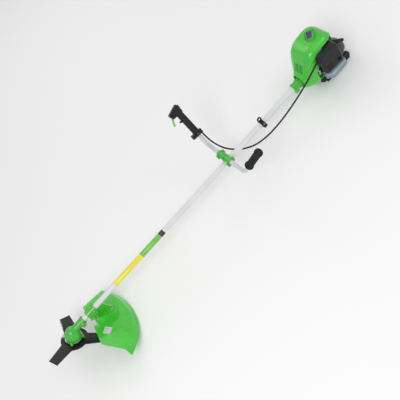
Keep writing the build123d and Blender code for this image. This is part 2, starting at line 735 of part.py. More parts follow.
def make_trigger():
    """The curved throttle lever on its pivot pin."""
    px, pz = trigger_pivot
    inner = [(px - 7, pz - 3), (px + 2, pz - 8), (px + 10, pz - 16), (px + 19, pz - 30), (px + 28, pz - 50)]
    outer = [(px + 36, pz - 53), (px + 30, pz - 36), (px + 21, pz - 18), (px + 12, pz - 6), (px + 4, pz + 6)]
    lever = make_face(Polyline(*[(x, 0, z) for x, z in inner + outer], close=True))
    lever = extrude(lever, trigger_width / 2, both=True)
    lever = fillet(lever.edges().filter_by(Axis.Y), 1.5)
    return lever + rod_y(-11.5, 11.5, 5, px, pz)


def make_lock_button():
    """The sprung lock at the back of the head that frees the trigger."""
    button = extrude(RectangleRounded(18, 12, 4), 12)
    body = Pos(-throttle_head_rear - 4, 0, lock_middle) * Rot(0, 90, 0) * button
    return body


def make_stop_switch():
    """The ignition slide on the collar."""
    knob = block((-3, 17.3, collar_middle - 6), (7, 21, collar_middle + 6))
    knob = fillet(knob.edges().filter_by(Axis.Z), 1.2)
    return knob + block((-1, 11, collar_middle - 3), (5, 17.4, collar_middle + 3))


shell = make_throttle_shell()
half_space = block((-90, 0, 0), (90, 90, 300))
pieces["throttle_body"] = RIGHT_ARM * (shell & half_space)
pieces["throttle_cover"] = RIGHT_ARM * (shell - half_space)
pieces["throttle_trigger"] = RIGHT_ARM * make_trigger()
pieces["throttle_lock"] = RIGHT_ARM * make_lock_button()
pieces["stop_switch"] = RIGHT_ARM * make_stop_switch()

# ---------------------------------------------------------------- harness hanger
hanger_eye = (hanger_position, 0.0, tube_diameter / 2 + 17)
hanger_eye_diameter = 12.0
hanger_eye_thickness = 5.0


def make_harness_hanger():
    """The black clamp with the eye that the shoulder harness hooks into."""
    x = hanger_position
    half = hanger_width / 2
    ring = rod_x(x - half, x + half, tube_diameter + 9)
    ears = block((x - half, -tube_diameter / 2 - 16, -7), (x + half, 0, 7))
    tab = rod_y(-hanger_eye_thickness / 2, hanger_eye_thickness / 2, 24, x, hanger_eye[2])
    tab += block((x - half, -hanger_eye_thickness / 2, 10),
                 (x + half, hanger_eye_thickness / 2, hanger_eye[2]))
    hanger = ring + ears + tab
    hanger -= rod_x(x - 40, x + 40, tube_diameter)
    hanger -= rod_y(-10, 10, hanger_eye_diameter, x, hanger_eye[2])
    hanger -= block((x - 40, -60, -1), (x + 40, -5, 1))
    hanger -= rod_z(-8, 8, 5.4, x, -tube_diameter / 2 - 10)
    return hanger


pieces["harness_hanger"] = make_harness_hanger()
screw_places += [Pos(hanger_position, -tube_diameter / 2 - 10, 7)]

# ---------------------------------------------------------------- clutch and its housing


def make_clutch_housing():
    """The cast neck that clamps on the tube, opening into a bell round the clutch drum."""
    r = engine_neck_diameter / 2
    bell_end = bell_front + bell_length
    outside = [(neck_end, 0), (neck_end, r - 1), (neck_end + 1, r), (neck_end + 26, r),
               (bell_front - 4, r + 4),
               (bell_front, bell_radius - 6), (bell_front + 6, bell_radius), (bell_end - 4, bell_radius),
               (bell_end - 4, bell_flange_radius), (bell_end, bell_flange_radius), (bell_end, 0)]
    housing = turned_x(outside)
    for turn in range(0, 360, 60):
        rib = make_face(Polyline((neck_end + 22, 0, 0), (neck_end + 22, 0, r + 1),
                                 (bell_front - 6, 0, r + 9),
                                 (bell_front + 4, 0, bell_radius - 3), (bell_front + 4, 0, 0), close=True))
        housing += Rot(turn, 0, 0) * extrude(rib, 1.5, both=True)
    housing += rod_x(neck_end + 3, neck_end + 13, engine_neck_diameter + 5)
    ears = block((neck_end + 2, -9, -r - 13), (neck_end + 24, 9, 0))
    housing += ears
    inside = bell_radius - bell_wall
    housing -= turned_x([(bell_front + bell_wall, 0), (bell_front + bell_wall, inside - 5),
                         (drum_front - 1, inside),
                         (bell_end + 1, inside), (bell_end + 1, 0)])
    housing -= rod_x(neck_end - 1, bell_front + bell_wall + 1, tube_diameter)
    housing -= block((neck_end - 1, -1, -60), (neck_end + 26, 1, 0))
    housing -= rod_y(-12, 12, 5.4, neck_end + 13, -r - 7)
    for turn in bell_screw_turns:
        housing -= Rot(turn, 0, 0) * rod_x(bell_end - 8, bell_end + 1, 5.4, 0, bell_screw_circle)
    return housing


def make_clutch_drum():
    """The clutch drum with its stem in two bearings and a socket for the drive shaft."""
    stem_front = drum_bearings[0] - 0.5
    drum = turned_x([(stem_front, 0), (stem_front, small_bearing_bore / 2 - press_gap),
                     (drum_front - 5, small_bearing_bore / 2 - press_gap), (drum_front - 3, 12),
                     (drum_front, 12), (drum_front, drum_radius), (drum_front + drum_depth, drum_radius),
                     (drum_front + drum_depth, drum_radius - drum_wall),
                     (drum_front + 3, drum_radius - drum_wall), (drum_front + 3, 0)])
    drum += rod_x(drum_socket_start, stem_front + 0.1, socket_diameter)
    drum -= rod_x(drum_socket_start - 1, drum_socket_start + socket_depth + 0.5,
                  drive_shaft_diameter + 2 * press_gap)
    for turn in range(0, 360, 60):
        drum -= Rot(turn, 0, 0) * rod_x(drum_front - 1, drum_front + 4, 9, 0, 25)
    return drum


def make_clutch_shoes():
    """The weighted shoes that swing out against the drum, and the garter spring that holds them in."""
    outer = drum_radius - drum_wall - shoe_gap
    sector = 360 / shoe_count - 14
    shoe_face = make_face(Polyline((shoe_start, 0, 17), (shoe_start, 0, outer),
                                   (shoe_start + shoe_width, 0, outer),
                                   (shoe_start + shoe_width, 0, 17), close=True))
    shoe = revolve(shoe_face, Axis.X, sector)
    spring_mid = shoe_start + shoe_width / 2
    groove = rod_x(spring_mid - 3, spring_mid + 3, 80) - rod_x(spring_mid - 4, spring_mid + 4, 2 * outer - 8)
    shoe -= groove
    garter = Pos(spring_mid, 0, 0) * Rot(0, 90, 0) * Torus(outer - 2, 1.6)
    return Compound([Rot(360 * n / shoe_count, 0, 0) * shoe for n in range(shoe_count)] + [garter])


bell_screw_circle = 50.0
bell_screw_turns = (45, 135, 225, 315)
shoe_start = drum_front + 5.0
pieces["clutch_housing"] = make_clutch_housing()
pieces["clutch_drum"] = make_clutch_drum()
pieces["clutch_shoes"] = make_clutch_shoes()
screw_places += [Pos(neck_end + 13, 9, -engine_neck_diameter / 2 - 7) * Rot(-90, 0, 0)]

# ---------------------------------------------------------------- flywheel, crankshaft and bearings


def make_flywheel():
    """The cast flywheel with its fan blades in front and the hub that carries the clutch."""
    start = flywheel_front
    end = flywheel_front + flywheel_thickness
    wheel = turned_x([(shoe_start - 1, crank_bearing_bore / 2 + press_gap),
                      (shoe_start - 1, flywheel_hub_radius),
                      (start, flywheel_hub_radius), (start, flywheel_radius), (end, flywheel_radius),
                      (end, flywheel_radius - 8), (end - 4, flywheel_radius - 12), (end - 4, 16), (end, 16),
                      (end, crank_bearing_bore / 2 + press_gap)])
    blade = block((start - fan_blade_height, -1.2, 22), (start + 1, 1.2, flywheel_radius - 2))
    blade = Pos(0, 6, 0) * Rot(18, 0, 0) * blade
    for n in range(fan_blade_count):
        wheel += Rot(360 * n / fan_blade_count, 0, 0) * blade
    return wheel


crank_mid = crankcase_front_face + crankcase_length / 2
web_gap = conrod_thickness + 4.0
front_web = crank_mid - web_gap / 2 - crank_web_thickness
rear_web = crank_mid + web_gap / 2
crank_front_bearing = front_web - 2.0 - crank_bearing_width
crank_rear_bearing = rear_web + crank_web_thickness + 2.0
crank_tail = starter_sections[0][0] + 14.0


def make_crankshaft():
    """The crankshaft: two round webs, its journals, and the cup behind that the starter catches."""
    shaft = rod_x(shoe_start + 1, crank_tail, crank_bearing_bore - 2 * press_gap)
    for web in (front_web, rear_web):
        shaft += rod_x(web, web + crank_web_thickness, 2 * crank_web_radius)
    pin_gap = rod_x(front_web + crank_web_thickness, rear_web, crank_bearing_bore + 2)
    shaft -= pin_gap - rod_x(front_web, rear_web + 1, 9)
    cup = rod_x(crank_tail - 9, crank_tail, 40) - rod_x(crank_tail - 7, crank_tail + 1, 34)
    for turn in range(0, 360, 60):
        cup -= Rot(turn, 0, 0) * block((crank_tail - 5, -4, 15), (crank_tail + 1, 4, 22))
    return shaft + cup


pieces["flywheel"] = make_flywheel()
pieces["crankshaft"] = make_crankshaft()
crank_bearing = ball_bearing(crank_bearing_bore, crank_bearing_outer - 2 * press_gap, crank_bearing_width)
pieces["crank_bearings"] = Compound([Pos(start, 0, 0) * Rot(0, 90, 0) * crank_bearing
                                     for start in (crank_front_bearing, crank_rear_bearing)])

# ---------------------------------------------------------------- crankcase, cylinder and piston


def make_crankcase():
    """Both halves of the cast crankcase in one, before they are parted."""
    start = crankcase_front_face
    end = start + crankcase_length
    half = crankcase_half_width
    case = block((start + 6, -half, crankcase_floor), (end - 6, half, crankcase_deck))
    case = fillet(case.edges().filter_by(Axis.X), 8)
    case += rod_x(start, end, crank_bearing_outer + 12)
    for side in (-1, 1):
        case += rod_x(start + 6, end - 6, 14, side * (half - 2), 0)
    for x in (start + 14, end - 14):
        for side in (-1, 1):
            case += rod_z(tank_top + 0.3, crankcase_floor + 2, 12, x, side * 22)
    case -= rod_x(front_web - 1.5, rear_web + crank_web_thickness + 1.5, 2 * crank_web_radius + 3)
    case -= rod_x(crank_front_bearing, crank_rear_bearing + crank_bearing_width, crank_bearing_outer)
    case -= rod_x(start - 1, end + 1, crank_bearing_bore + 2)
    case -= rod_z(0, crankcase_deck + 1, cylinder_bore, crank_mid)
    return case


def make_cylinder():
    """The cast cylinder: base flange, barrel, cooling fins, head and both ports."""
    x = crank_mid
    deck = crankcase_deck
    crown = crank_throw + conrod_length + piston_crown
    head_low = crown + 3
    cylinder = block((x - 30, -31, deck), (x + 30, 31, deck + 5))
    cylinder += rod_z(deck, head_low + 8, cylinder_bore + 2 * cylinder_wall, x)
    for n in range(fin_count):
        z = deck + 9 + n * fin_pitch
        trim = 0 if n < fin_count - 2 else 5 * (n - fin_count + 3)
        fin = block((x - fin_half_length + trim, -fin_half_width + trim, z),
                    (x + fin_half_length - trim, fin_half_width - trim, z + fin_thickness))
        cylinder += fillet(fin.edges().filter_by(Axis.Z), 8)
    port_height = deck + 14
    cylinder += block((x - 15, carburettor_inner, port_height - 12), (x + 15, 0, port_height + 12))
    cylinder += block((x - 17, 0, port_height - 12), (x + 17, muffler_inner - 8, port_height + 12))
    cylinder -= rod_z(deck - 1, head_low, cylinder_bore, x)
    cylinder -= rod_y(carburettor_inner - 1, 0, 16, x, port_height)
    cylinder -= rod_y(0, muffler_inner, 20, x, port_height)
    cylinder -= rod_z(head_low - 1, head_low + 40, 14, x)
    cylinder -= rod_z(head_low + 9, head_low + 40, 24, x)
    return cylinder


def make_piston():
    """The piston at the top of its stroke, with two ring grooves and the pin's bosses."""
    x = crank_mid
    pin = crank_throw + conrod_length
    top = pin + piston_crown
    r = cylinder_bore / 2 - running_gap
    piston = rod_z(top - piston_height, top, 2 * r, x)
    piston -= rod_z(top - piston_height - 1, top - 5, 2 * r - 6, x)
    for depth in (4, 8):
        piston -= rod_z(top - depth - 1.5, top - depth, 2 * r + 1, x) - rod_z(top - 20, top, 2 * r - 3, x)
    bosses = rod_y(-r + 1, r - 1, 15, x, pin) - block((x - 20, -8, pin - 20), (x + 20, 8, pin + 20))
    piston += bosses & rod_z(top - piston_height, top - 4, 2 * r - 1, x)
    return piston - rod_y(-r - 1, r + 1, 10, x, pin)


def make_connecting_rod():
    """The connecting rod at top dead centre, with the crank pin and the piston pin in its eyes."""
    x = crank_mid
    half = conrod_thickness / 2
    pin = crank_throw + conrod_length
    big_eye = rod_x(x - half, x + half, 21, 0, crank_throw)
    beam = block((x - 3, -5.5, crank_throw + 8), (x + 3, 5.5, pin - 5))
    small_eye = rod_y(-7.5, 7.5, 15, x, pin)
    gudgeon = rod_y(-cylinder_bore / 2 + 3, cylinder_bore / 2 - 3, 10 - 2 * press_gap, x, pin)
    return big_eye + beam + small_eye + gudgeon


crankcase = make_crankcase()
rear_half = block((crank_mid, -200, -200), (crank_mid + 200, 200, 200))
pieces["crankcase_front"] = crankcase - rear_half
pieces["crankcase_rear"] = crankcase & rear_half
pieces["cylinder"] = make_cylinder()
pieces["piston"] = make_piston()
pieces["connecting_rod"] = make_connecting_rod()

plug_seat = crank_throw + conrod_length + piston_crown + 11
spark_plug = rod_z(plug_seat - 7, plug_seat, 13.9, crank_mid)
spark_plug += Pos(crank_mid, 0, plug_seat) * extrude(RegularPolygon(10, 6), 9)
spark_plug += rod_z(plug_seat + 9, plug_seat + 26, 9, crank_mid)
spark_plug += rod_z(plug_seat + 26, plug_seat + 32, 6, crank_mid)
pieces["spark_plug"] = spark_plug

# ---------------------------------------------------------------- ignition coil


def make_ignition_coil():
    """The coil on its laminated yoke, whose two legs end just off the flywheel's rim."""
    start = flywheel_front + 1
    end = flywheel_front + flywheel_thickness - 1
    rim = flywheel_radius + free_gap
    yoke = block((start, -24, rim + 14), (end, 24, rim + 21))
    for side in (-1, 1):
        low, high = sorted((side * 14, side * 24))
        yoke += block((start, low, rim - 12), (end, high, rim + 15))
    yoke -= rod_x(start - 1, end + 1, 2 * rim)
    winding = block((start - 3, -10, rim + 2), (end + 4, 10, rim + 26))
    winding = fillet(winding.edges().filter_by(Axis.X), 3)
    arm = block((end - 3, -22, rim + 8), (crank_mid - fin_half_length - free_gap, -16, rim + 18))
    return yoke + winding + arm


pieces["ignition_coil"] = make_ignition_coil()

# ---------------------------------------------------------------- engine covers


def lofted(sections, inset):
    """The smooth solid through rounded sections across X, drawn in by inset."""
    faces = []
    for x, half, bottom, top, low_corner, high_corner in sections:
        plane = Plane(origin=(x, 0, 0), x_dir=(0, 1, 0), z_dir=(1, 0, 0))
        wide = half - inset
        outline = [(-wide, bottom + inset), (wide, bottom + inset), (wide, top - inset),
                   (-wide, top - inset)]
        face = plane * make_face(Polyline(*outline, close=True))
        corners = face.vertices().sort_by(Axis.Z)
        face = fillet(corners[:2], low_corner - inset)
        corners = [corner for corner in face.vertices() if corner.Z > top - inset - 0.01]
        faces.append(fillet(corners, high_corner - inset).face())
    return loft(faces)


def side_cut(points, low_y, high_y):
    """A prism across Y from (x, z) points."""
    face = make_face(Polyline(*[(x, low_y, z) for x, z in points], close=True))
    return extrude(face, high_y - low_y, dir=(0, 1, 0))


outer_shroud = lofted(shroud_sections, 0)
inner_shroud = lofted(shroud_sections, shroud_wall)
inner_shroud -= block((shroud_sections[-1][0] - shroud_wall, -200, -200), (1900, 200, 300))
shroud_start = shroud_sections[0][0]
shroud_end = shroud_sections[-1][0]


def make_fan_cover():
    """The green front cover: neck opening, intake grille and the wall that the bell is screwed to."""
    front = block((shroud_start - 1, -200, -200), (shroud_seam, 200, 300))
    cover = (outer_shroud & front) - inner_shroud
    wall_start = bell_front + bell_length
    wall = (outer_shroud & block((wall_start, -200, -200), (wall_start + 3, 200, 300)))
    cover += wall - rod_x(wall_start - 1, wall_start + 4, 60)
    for turn in bell_screw_turns:
        cover -= Rot(turn, 0, 0) * rod_x(wall_start - 1, wall_start + 4, 4.6, 0, bell_screw_circle)
    cover -= rod_x(shroud_start - 2, bell_front + 6, shroud_neck_hole)
    for row in range(6):
        slot = block((shroud_start + 16, -26 + row * 9.5, 36), (shroud_start + 54, -22 + row * 9.5, 84))
        cover -= slot
    return cover


def make_cylinder_cover():
    """The green top cover over the cylinder, open underneath and cut away for intake and exhaust."""
    rear = block((shroud_seam + free_gap, -200, -200), (shroud_end + 1, 200, 300))
    cover = outer_shroud & rear
    low_x = crankcase_front_face - 2
    starter_top = starter_sections[0][3] + 4
    starter_x = starter_sections[0][0] - 4
    cover -= side_cut([(low_x, -90), (low_x + 20, 10), (starter_x - 10, 20), (starter_x, starter_top),
                       (1900, starter_top), (1900, -90)], -200, 200)
    intake = [(1598, -90), (1598, 8), (filter_front + 18, 88), (filter_front + 54, filter_top + 6),
              (1900, filter_top + 7), (1900, -90)]
    cover -= side_cut(intake, -200, -crankcase_half_width - 4)
    exhaust = [(low_x - 4, -90), (low_x - 4, 84), (starter_x, 84), (starter_x, -90)]
    cover -= side_cut(exhaust, crankcase_half_width + 4, 200)
    return cover - rod_z(60, 300, 7, 1690, -20) - inner_shroud


pieces["fan_cover"] = make_fan_cover()
pieces["cylinder_cover"] = make_cylinder_cover()

# ---------------------------------------------------------------- carburettor and air filter
port_z = crankcase_deck + 14
carb_low = port_z - 18
carb_high = port_z + 18
carb_mid_y = (carburettor_inner + filter_inner) / 2
lever_pivot = (crank_mid - 9, carb_mid_y, carb_high)
bulb_radius = 9.0
bulb_travel = 4.0

# The throttle cable leaves the handle's collar down the right bar, passes under the tube behind
# the bracket, and follows the tube's left side to a socket on the filter's base.
cable_start = (RIGHT_ARM * Pos(*cable_exit)).position
arm_down = (RIGHT_ARM * Pos(cable_exit[0], cable_exit[1], cable_exit[2] - 45)).position
cable_points = [cable_start, arm_down, Vector(1079, 113, 6), Vector(1092, 81, -16), Vector(1113, 50, -31),
                Vector(1145, 9, -37), Vector(1192, -29, -38), Vector(1257, -50, -33), Vector(1336, -58, -24),
                Vector(1416, -60, -9), Vector(1497, -66, 19), Vector(1557, -76, 52), Vector(1612, -84, 87)]
cable_end = cable_points[-1]
cable_last_run = (cable_end - cable_points[-2]).normalized()
cable_socket = Location(Plane(origin=cable_end, z_dir=cable_last_run)) * Cylinder(5.5, 14, align=ABOVE)


def bend_radii(points):
    """For each inner corner, the radius whose arc takes 0.45 of the shorter run beside it."""
    radii = []
    for before, corner, after in zip(points, points[1:], points[2:]):
        turn = math.radians((corner - before).get_angle(after - corner))
        shorter = min((corner - before).length, (after - corner).length)
        radii.append(0.45 * shorter / math.tan(turn / 2))
    return radii


cable_radii = bend_radii(cable_points)
cable_path = FilletPolyline(*cable_points, radius=cable_radii)
cable_section = Plane(origin=cable_path @ 0, z_dir=cable_path % 0) * Circle(cable_diameter / 2)
pieces["cable_loom"] = sweep(cable_section, path=cable_path)


def make_carburettor():
    """The diaphragm carburettor with its flange, air horn and primer seat."""
    x = crank_mid
    body = block((x - 19, filter_inner + 4, carb_low), (x + 19, carburettor_inner - 5, carb_high))
    body = fillet(body.edges().filter_by(Axis.Y), 3)
    body += block((x - 24, carburettor_inner - 5, port_z - 13), (x + 24, carburettor_inner, port_z + 13))
    body += rod_y(filter_inner, filter_inner + 5, 34, x, port_z)
    body -= rod_y(filter_inner - 1, carburettor_inner + 1, 15, x, port_z)
    body += rod_z(carb_low - 5, carb_low + 1, 24, x + 4, carb_mid_y)
    body -= rod_z(carb_low - 6, carb_low, 2 * bulb_radius + 0.8, x + 4, carb_mid_y)
    return body
pieces["carburettor"] = make_carburettor()

lever_low = carb_high + 0.4
throttle_lever = rod_z(lever_low, lever_low + 2.5, 14, lever_pivot[0], lever_pivot[1])
throttle_lever += block((lever_pivot[0] - 3, lever_pivot[1], lever_low),
                        (lever_pivot[0] + 3, lever_pivot[1] + 13, lever_low + 2.5))
throttle_lever += rod_z(lever_low, lever_low + 7, 5, lever_pivot[0], lever_pivot[1] + 11)
throttle_lever += rod_z(lever_low, lever_low + 5, 6, lever_pivot[0], lever_pivot[1])
pieces["throttle_lever"] = throttle_lever

bulb_x = crank_mid + 4
bulb = Pos(bulb_x, carb_mid_y, carb_low - 6) * Sphere(bulb_radius - 0.6)
bulb &= rod_z(carb_low - 30, carb_low - 6, 30, bulb_x, carb_mid_y)
bulb += rod_z(carb_low - 6.2, carb_low - bulb_travel - 0.6, 2 * bulb_radius - 1.2, bulb_x, carb_mid_y)
pieces["primer_bulb"] = bulb


def filter_plate(inset, low_y, high_y):
    """A rounded plate with the outline of the air filter, drawn in by inset."""
    x = filter_front + filter_length / 2
    z = (filter_bottom + filter_top) / 2
    plane = Plane(origin=(x, low_y, z), x_dir=(-1, 0, 0), z_dir=(0, 1, 0))
    plate = RectangleRounded(filter_length - 2 * inset, filter_top - filter_bottom - 2 * inset,
                             filter_corner - inset)
    return extrude(plane * plate, high_y - low_y)


filter_outer = filter_inner - filter_depth
rim_y = filter_inner - filter_base_depth + 4
base = filter_plate(0, rim_y, filter_inner)
base += filter_plate(filter_wall + slip_gap, filter_inner - filter_base_depth, rim_y)
base -= filter_plate(filter_wall + slip_gap + 2, filter_inner - filter_base_depth - 1, filter_inner - 2.5)
base -= rod_y(filter_outer, filter_inner + 1, 18, crank_mid, port_z)
cover_box = filter_plate(0, filter_outer, rim_y - free_gap)
cover_box = fillet(cover_box.faces().sort_by(Axis.Y)[0].edges(), 7)
cover_box -= filter_plate(filter_wall, filter_outer + filter_wall, rim_y)
for row in range(5):
    z = filter_bottom + 14 + row * 7
    cover_box -= block((filter_front + 16, filter_outer - 1, z),
                       (filter_front + 48, filter_outer + 1, z + 2.5))
knob_x = filter_front + filter_length - 20
knob_z = filter_bottom + 16
cover_box += rod_y(filter_outer - 7, filter_outer + 1, 16, knob_x, knob_z)
element = filter_plate(filter_wall + 2.5, filter_outer + filter_wall + 1,
                       filter_inner - filter_base_depth - 0.5)
base += cable_socket & block((1500, -200, 0), (filter_front - free_gap, 0, 200))
base += block((filter_front - 4, rim_y, cable_end.Z - 4), (filter_front + 1, filter_inner, cable_end.Z + 6))
pieces["filter_base"] = base
pieces["filter_element"] = element
pieces["filter_cover"] = cover_box

choke_pivot = (filter_front, (rim_y + filter_inner) / 2, filter_bottom + 16)
choke = rod_x(filter_front - 5, filter_front - 0.3, 9, choke_pivot[1], choke_pivot[2])
choke += block((filter_front - 4, choke_pivot[1] - 2.5, choke_pivot[2]),
               (filter_front - 1.5, choke_pivot[1] + 2.5, choke_pivot[2] + 24))
choke += rod_x(filter_front - 9, filter_front - 1.5, 7, choke_pivot[1], choke_pivot[2] + 22)
pieces["choke_lever"] = choke

# ---------------------------------------------------------------- muffler


def make_muffler():
    """The pressed muffler box with its port, folded seam, louvres and outlet."""
    x = crank_mid
    outer = muffler_inner + muffler_depth
    box = block((x - 36, muffler_inner, 14), (x + 36, outer, 76))
    box = fillet(box.edges(), 8)
    middle = (muffler_inner + outer) / 2
    seam = block((x - 38, middle - 1.5, 12), (x + 38, middle + 1.5, 78))
    box += fillet(seam.edges().filter_by(Axis.Y), 9)
    inside = block((x - 36 + muffler_wall, muffler_inner + muffler_wall, 14 + muffler_wall),
                   (x + 36 - muffler_wall, outer - muffler_wall, 76 - muffler_wall))
    box -= fillet(inside.edges(), 8 - muffler_wall)
    box += block((x - 18, muffler_inner - 7.6, port_z - 13), (x + 18, muffler_inner + 2, port_z + 13))
    box -= rod_y(muffler_inner - 9, muffler_inner + 12, 20, x, port_z)
    for row in range(5):
        z = 26 + row * 8
        box -= block((x - 24, outer - 1.5, z), (x + 24, outer + 1, z + 3))
    outlet = rod_y(outer - 4, outer + 8, 14, x + 22, 64)
    return box + outlet - rod_y(outer - 3, outer + 9, 10, x + 22, 64)


pieces["muffler"] = make_muffler()

# ---------------------------------------------------------------- recoil starter


rope_direction = Vector(0.2, -1, 1).normalized()
rope_side = Vector(0, 1, 1).normalized().cross(rope_direction)
rope_exit = 62.0
ROPE = Location(Plane(origin=(reel_front + reel_width / 2, 0, 0), x_dir=rope_side, z_dir=rope_direction))


def make_starter_housing():
    """The black recoil housing: an air grille behind, the reel's post inside and a rope guide."""
    outer = lofted(starter_sections, 0)
    inner = lofted(starter_sections, starter_wall)
    inner -= block((starter_sections[-1][0] - starter_wall, -200, -200), (1900, 200, 200))
    guide = ROPE * (Pos(0, 0, 20) * Cylinder(9, rope_exit - 20, align=ABOVE))
    post = rod_x(reel_front - 2, starter_sections[-1][0], 16) & outer
    housing = outer - inner + (guide - inner) + post
    housing -= ROPE * (Pos(0, 0, 18) * Cylinder(3, 60, align=ABOVE))
    for n in range(7):
        z = -44 + n * 9
        slot = block((starter_sections[2][0] + 4, -24, z), (starter_sections[-1][0] + 1, 24, z + 4))
        housing -= slot - rod_x(1700, 1900, 26)
    return housing


def make_starter_reel():
    """The rope reel, turning on the housing's post, with the pawl ring that catches the crankshaft."""
    front = reel_front
    reel = turned_x([(front, 8 + running_gap), (front, reel_radius), (front + 2, reel_radius),
                     (front + 2, reel_radius - 9), (front + reel_width - 2, reel_radius - 9),
                     (front + reel_width - 2, reel_radius), (front + reel_width, reel_radius),
                     (front + reel_width, 8 + running_gap)])
    reel += rod_x(crank_tail + 0.8, front + 1, 30) - rod_x(crank_tail, front + 2, 16 + 2 * running_gap)
    return reel


def make_starter_handle():
    """The T-shaped pull handle."""
    bar = Rot(0, 90, 0) * Cylinder(7.5, 54)
    bar = fillet(bar.edges(), 6)
    stem = Pos(0, 0, rope_exit + free_gap) * Cone(6.5, 7.5, 10, align=ABOVE)
    return ROPE * (Pos(0, 0, rope_exit + 11) * Rot(0, 0, -starter_bar_turn) * bar + stem)


pieces["starter_housing"] = make_starter_housing()
pieces["starter_reel"] = make_starter_reel()
pieces["starter_handle"] = make_starter_handle()

# ---------------------------------------------------------------- fuel tank, cap and stand
tank_end = tank_front + tank_length
cap_radius = 15.0
neck_radius = 12.0
cut_middle = (tank_front + tank_corner_cut / 2, -tank_half_width + tank_corner_cut / 2,
              (tank_top + tank_bottom) / 2)
FILLER = Location(Plane(origin=cut_middle, x_dir=(0, 0, 1), z_dir=(-1, -1, 0)))


def tank_body(inset):
    """The tank's outer form, drawn in by inset, with its corner cut across for the filler."""
    wide = tank_half_width - inset
    front = tank_front + inset
    cut = tank_corner_cut - inset * 0.6
    outline = [(front, wide), (front, cut - wide), (front + cut, -wide), (tank_end - inset, -wide),
               (tank_end - inset, wide)]
    face = make_face(Polyline(*[(x, y, tank_bottom + inset) for x, y in outline], close=True))
    body = extrude(face, tank_top - tank_bottom - 2 * inset, dir=(0, 0, 1))
    body = fillet(body.edges().filter_by(Axis.Z), 12 - inset)
    return fillet(body.faces().sort_by(Axis.Z)[0].edges(), 8 - inset)


def make_tank():
    """The translucent blow-moulded tank, with its filler neck on the cut corner."""
    tank = tank_body(0) + FILLER * Pos(0, 0, -6) * Cylinder(neck_radius, 14, align=ABOVE)
    tank -= tank_body(tank_wall)
    return tank - FILLER * Pos(0, 0, -7) * Cylinder(neck_radius - 2.5, 16, align=ABOVE)


def make_fuel_cap():
    """The screw cap with a ribbed rim and a grip bar."""
    cap = Pos(0, 0, 1) * Cylinder(cap_radius, 12, align=ABOVE)
    cap = chamfer(cap.faces().sort_by(Axis.Z)[-1].edges(), 2)
    cap -= Cylinder(neck_radius + slip_gap, 8 + free_gap, align=ABOVE)
    for n in range(16):
        cap -= Rot(0, 0, 360 / 16 * n) * Pos(cap_radius, 0, 0) * Cylinder(1.2, 12, align=ABOVE)
    cap += Pos(0, 0, 12) * Box(20, 4, 3.5, align=ABOVE)
    return FILLER * cap


guard_low = HEAD * Pos(guard_rim_radius - 1, 0, guard_top - guard_skirt_drop - 1.5)
heel = Vector(stand_heel, 0, stand_heel_height)
ground_run = heel - guard_low.position
ground_slope = math.degrees(math.atan2(ground_run.Z, ground_run.X))


def ground_height(x):
    """The height of the ground under the machine at x, while the shaft is still level."""
    return heel.Z + (x - heel.X) * math.tan(math.radians(ground_slope))


def make_stand():
    """The black stand: two rails on the ground, cross bars under the tank and posts behind it."""
    toe = tank_front + 44
    rear = tank_end + 1.5
    outline = [(toe, ground_height(toe)), (heel.X, heel.Z), (heel.X + 8, -80), (heel.X, tank_top),
               (rear, tank_top), (rear, tank_bottom + 4), (rear - 6, tank_bottom - free_gap),
               (toe + 6, tank_bottom - free_gap), (toe, tank_bottom - 5)]
    stand = Part()
    for side in (-1, 1):
        edge = side * stand_half_width
        low, high = sorted((edge, edge - side * stand_rail_width))
        stand += side_cut(outline, low, high)
    for x in (toe + 12, tank_end - 30):
        stand += block((x, -stand_half_width + 1, tank_bottom - 5),
                       (x + 16, stand_half_width - 1, tank_bottom - free_gap))
    stand += block((rear, -stand_half_width + 1, tank_top - 24), (rear + 6, stand_half_width - 1, tank_top))
    stand += block((rear, -16, tank_top - 10), (rear + 6, 16, starter_sections[1][2] - 0.5))
    return stand


pieces["fuel_tank"] = make_tank()
pieces["fuel_cap"] = make_fuel_cap()
pieces["tank_stand"] = make_stand()

# ---------------------------------------------------------------- screws
bell_screws = []
for turn in bell_screw_turns:
    lug = Rot(turn, 0, 0) * Pos(bell_front + bell_length - 4, 0, bell_screw_circle)
    bell_screws.append(lug * Rot(0, -90, 0))
pieces["clamp_screws"] = Compound([place * socket_screw(5, 16) for place in screw_places]
                                  + [place * socket_screw(4.4, 9) for place in bell_screws])

# ---------------------------------------------------------------- set down on the ground and written
level = Rot(0, ground_slope, 0)
standing = {name: level * shape for name, shape in pieces.items()}
boxes = [shape.bounding_box() for name, shape in standing.items() if name != "cable_loom"]
low = Vector(*[min(getattr(box.min, axis) for box in boxes) for axis in "XYZ"])
high = Vector(*[max(getattr(box.max, axis) for box in boxes) for axis in "XYZ"])
set_down = Pos(-(low.X + high.X) / 2, -(low.Y + high.Y) / 2, -low.Z)

os.makedirs("parts", exist_ok=True)
for name, shape in standing.items():
    export_step(set_down * shape, f"parts/{name}.step")

print("pieces", len(pieces), "size", high - low)
print("cable radii", [round(radius, 1) for radius in cable_radii], "length", round(cable_path.length, 1))
print("cable volume", round(pieces["cable_loom"].volume), "section x length",
      round(cable_section.area * cable_path.length))
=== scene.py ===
import math

import bpy
from mathutils import Matrix, Vector


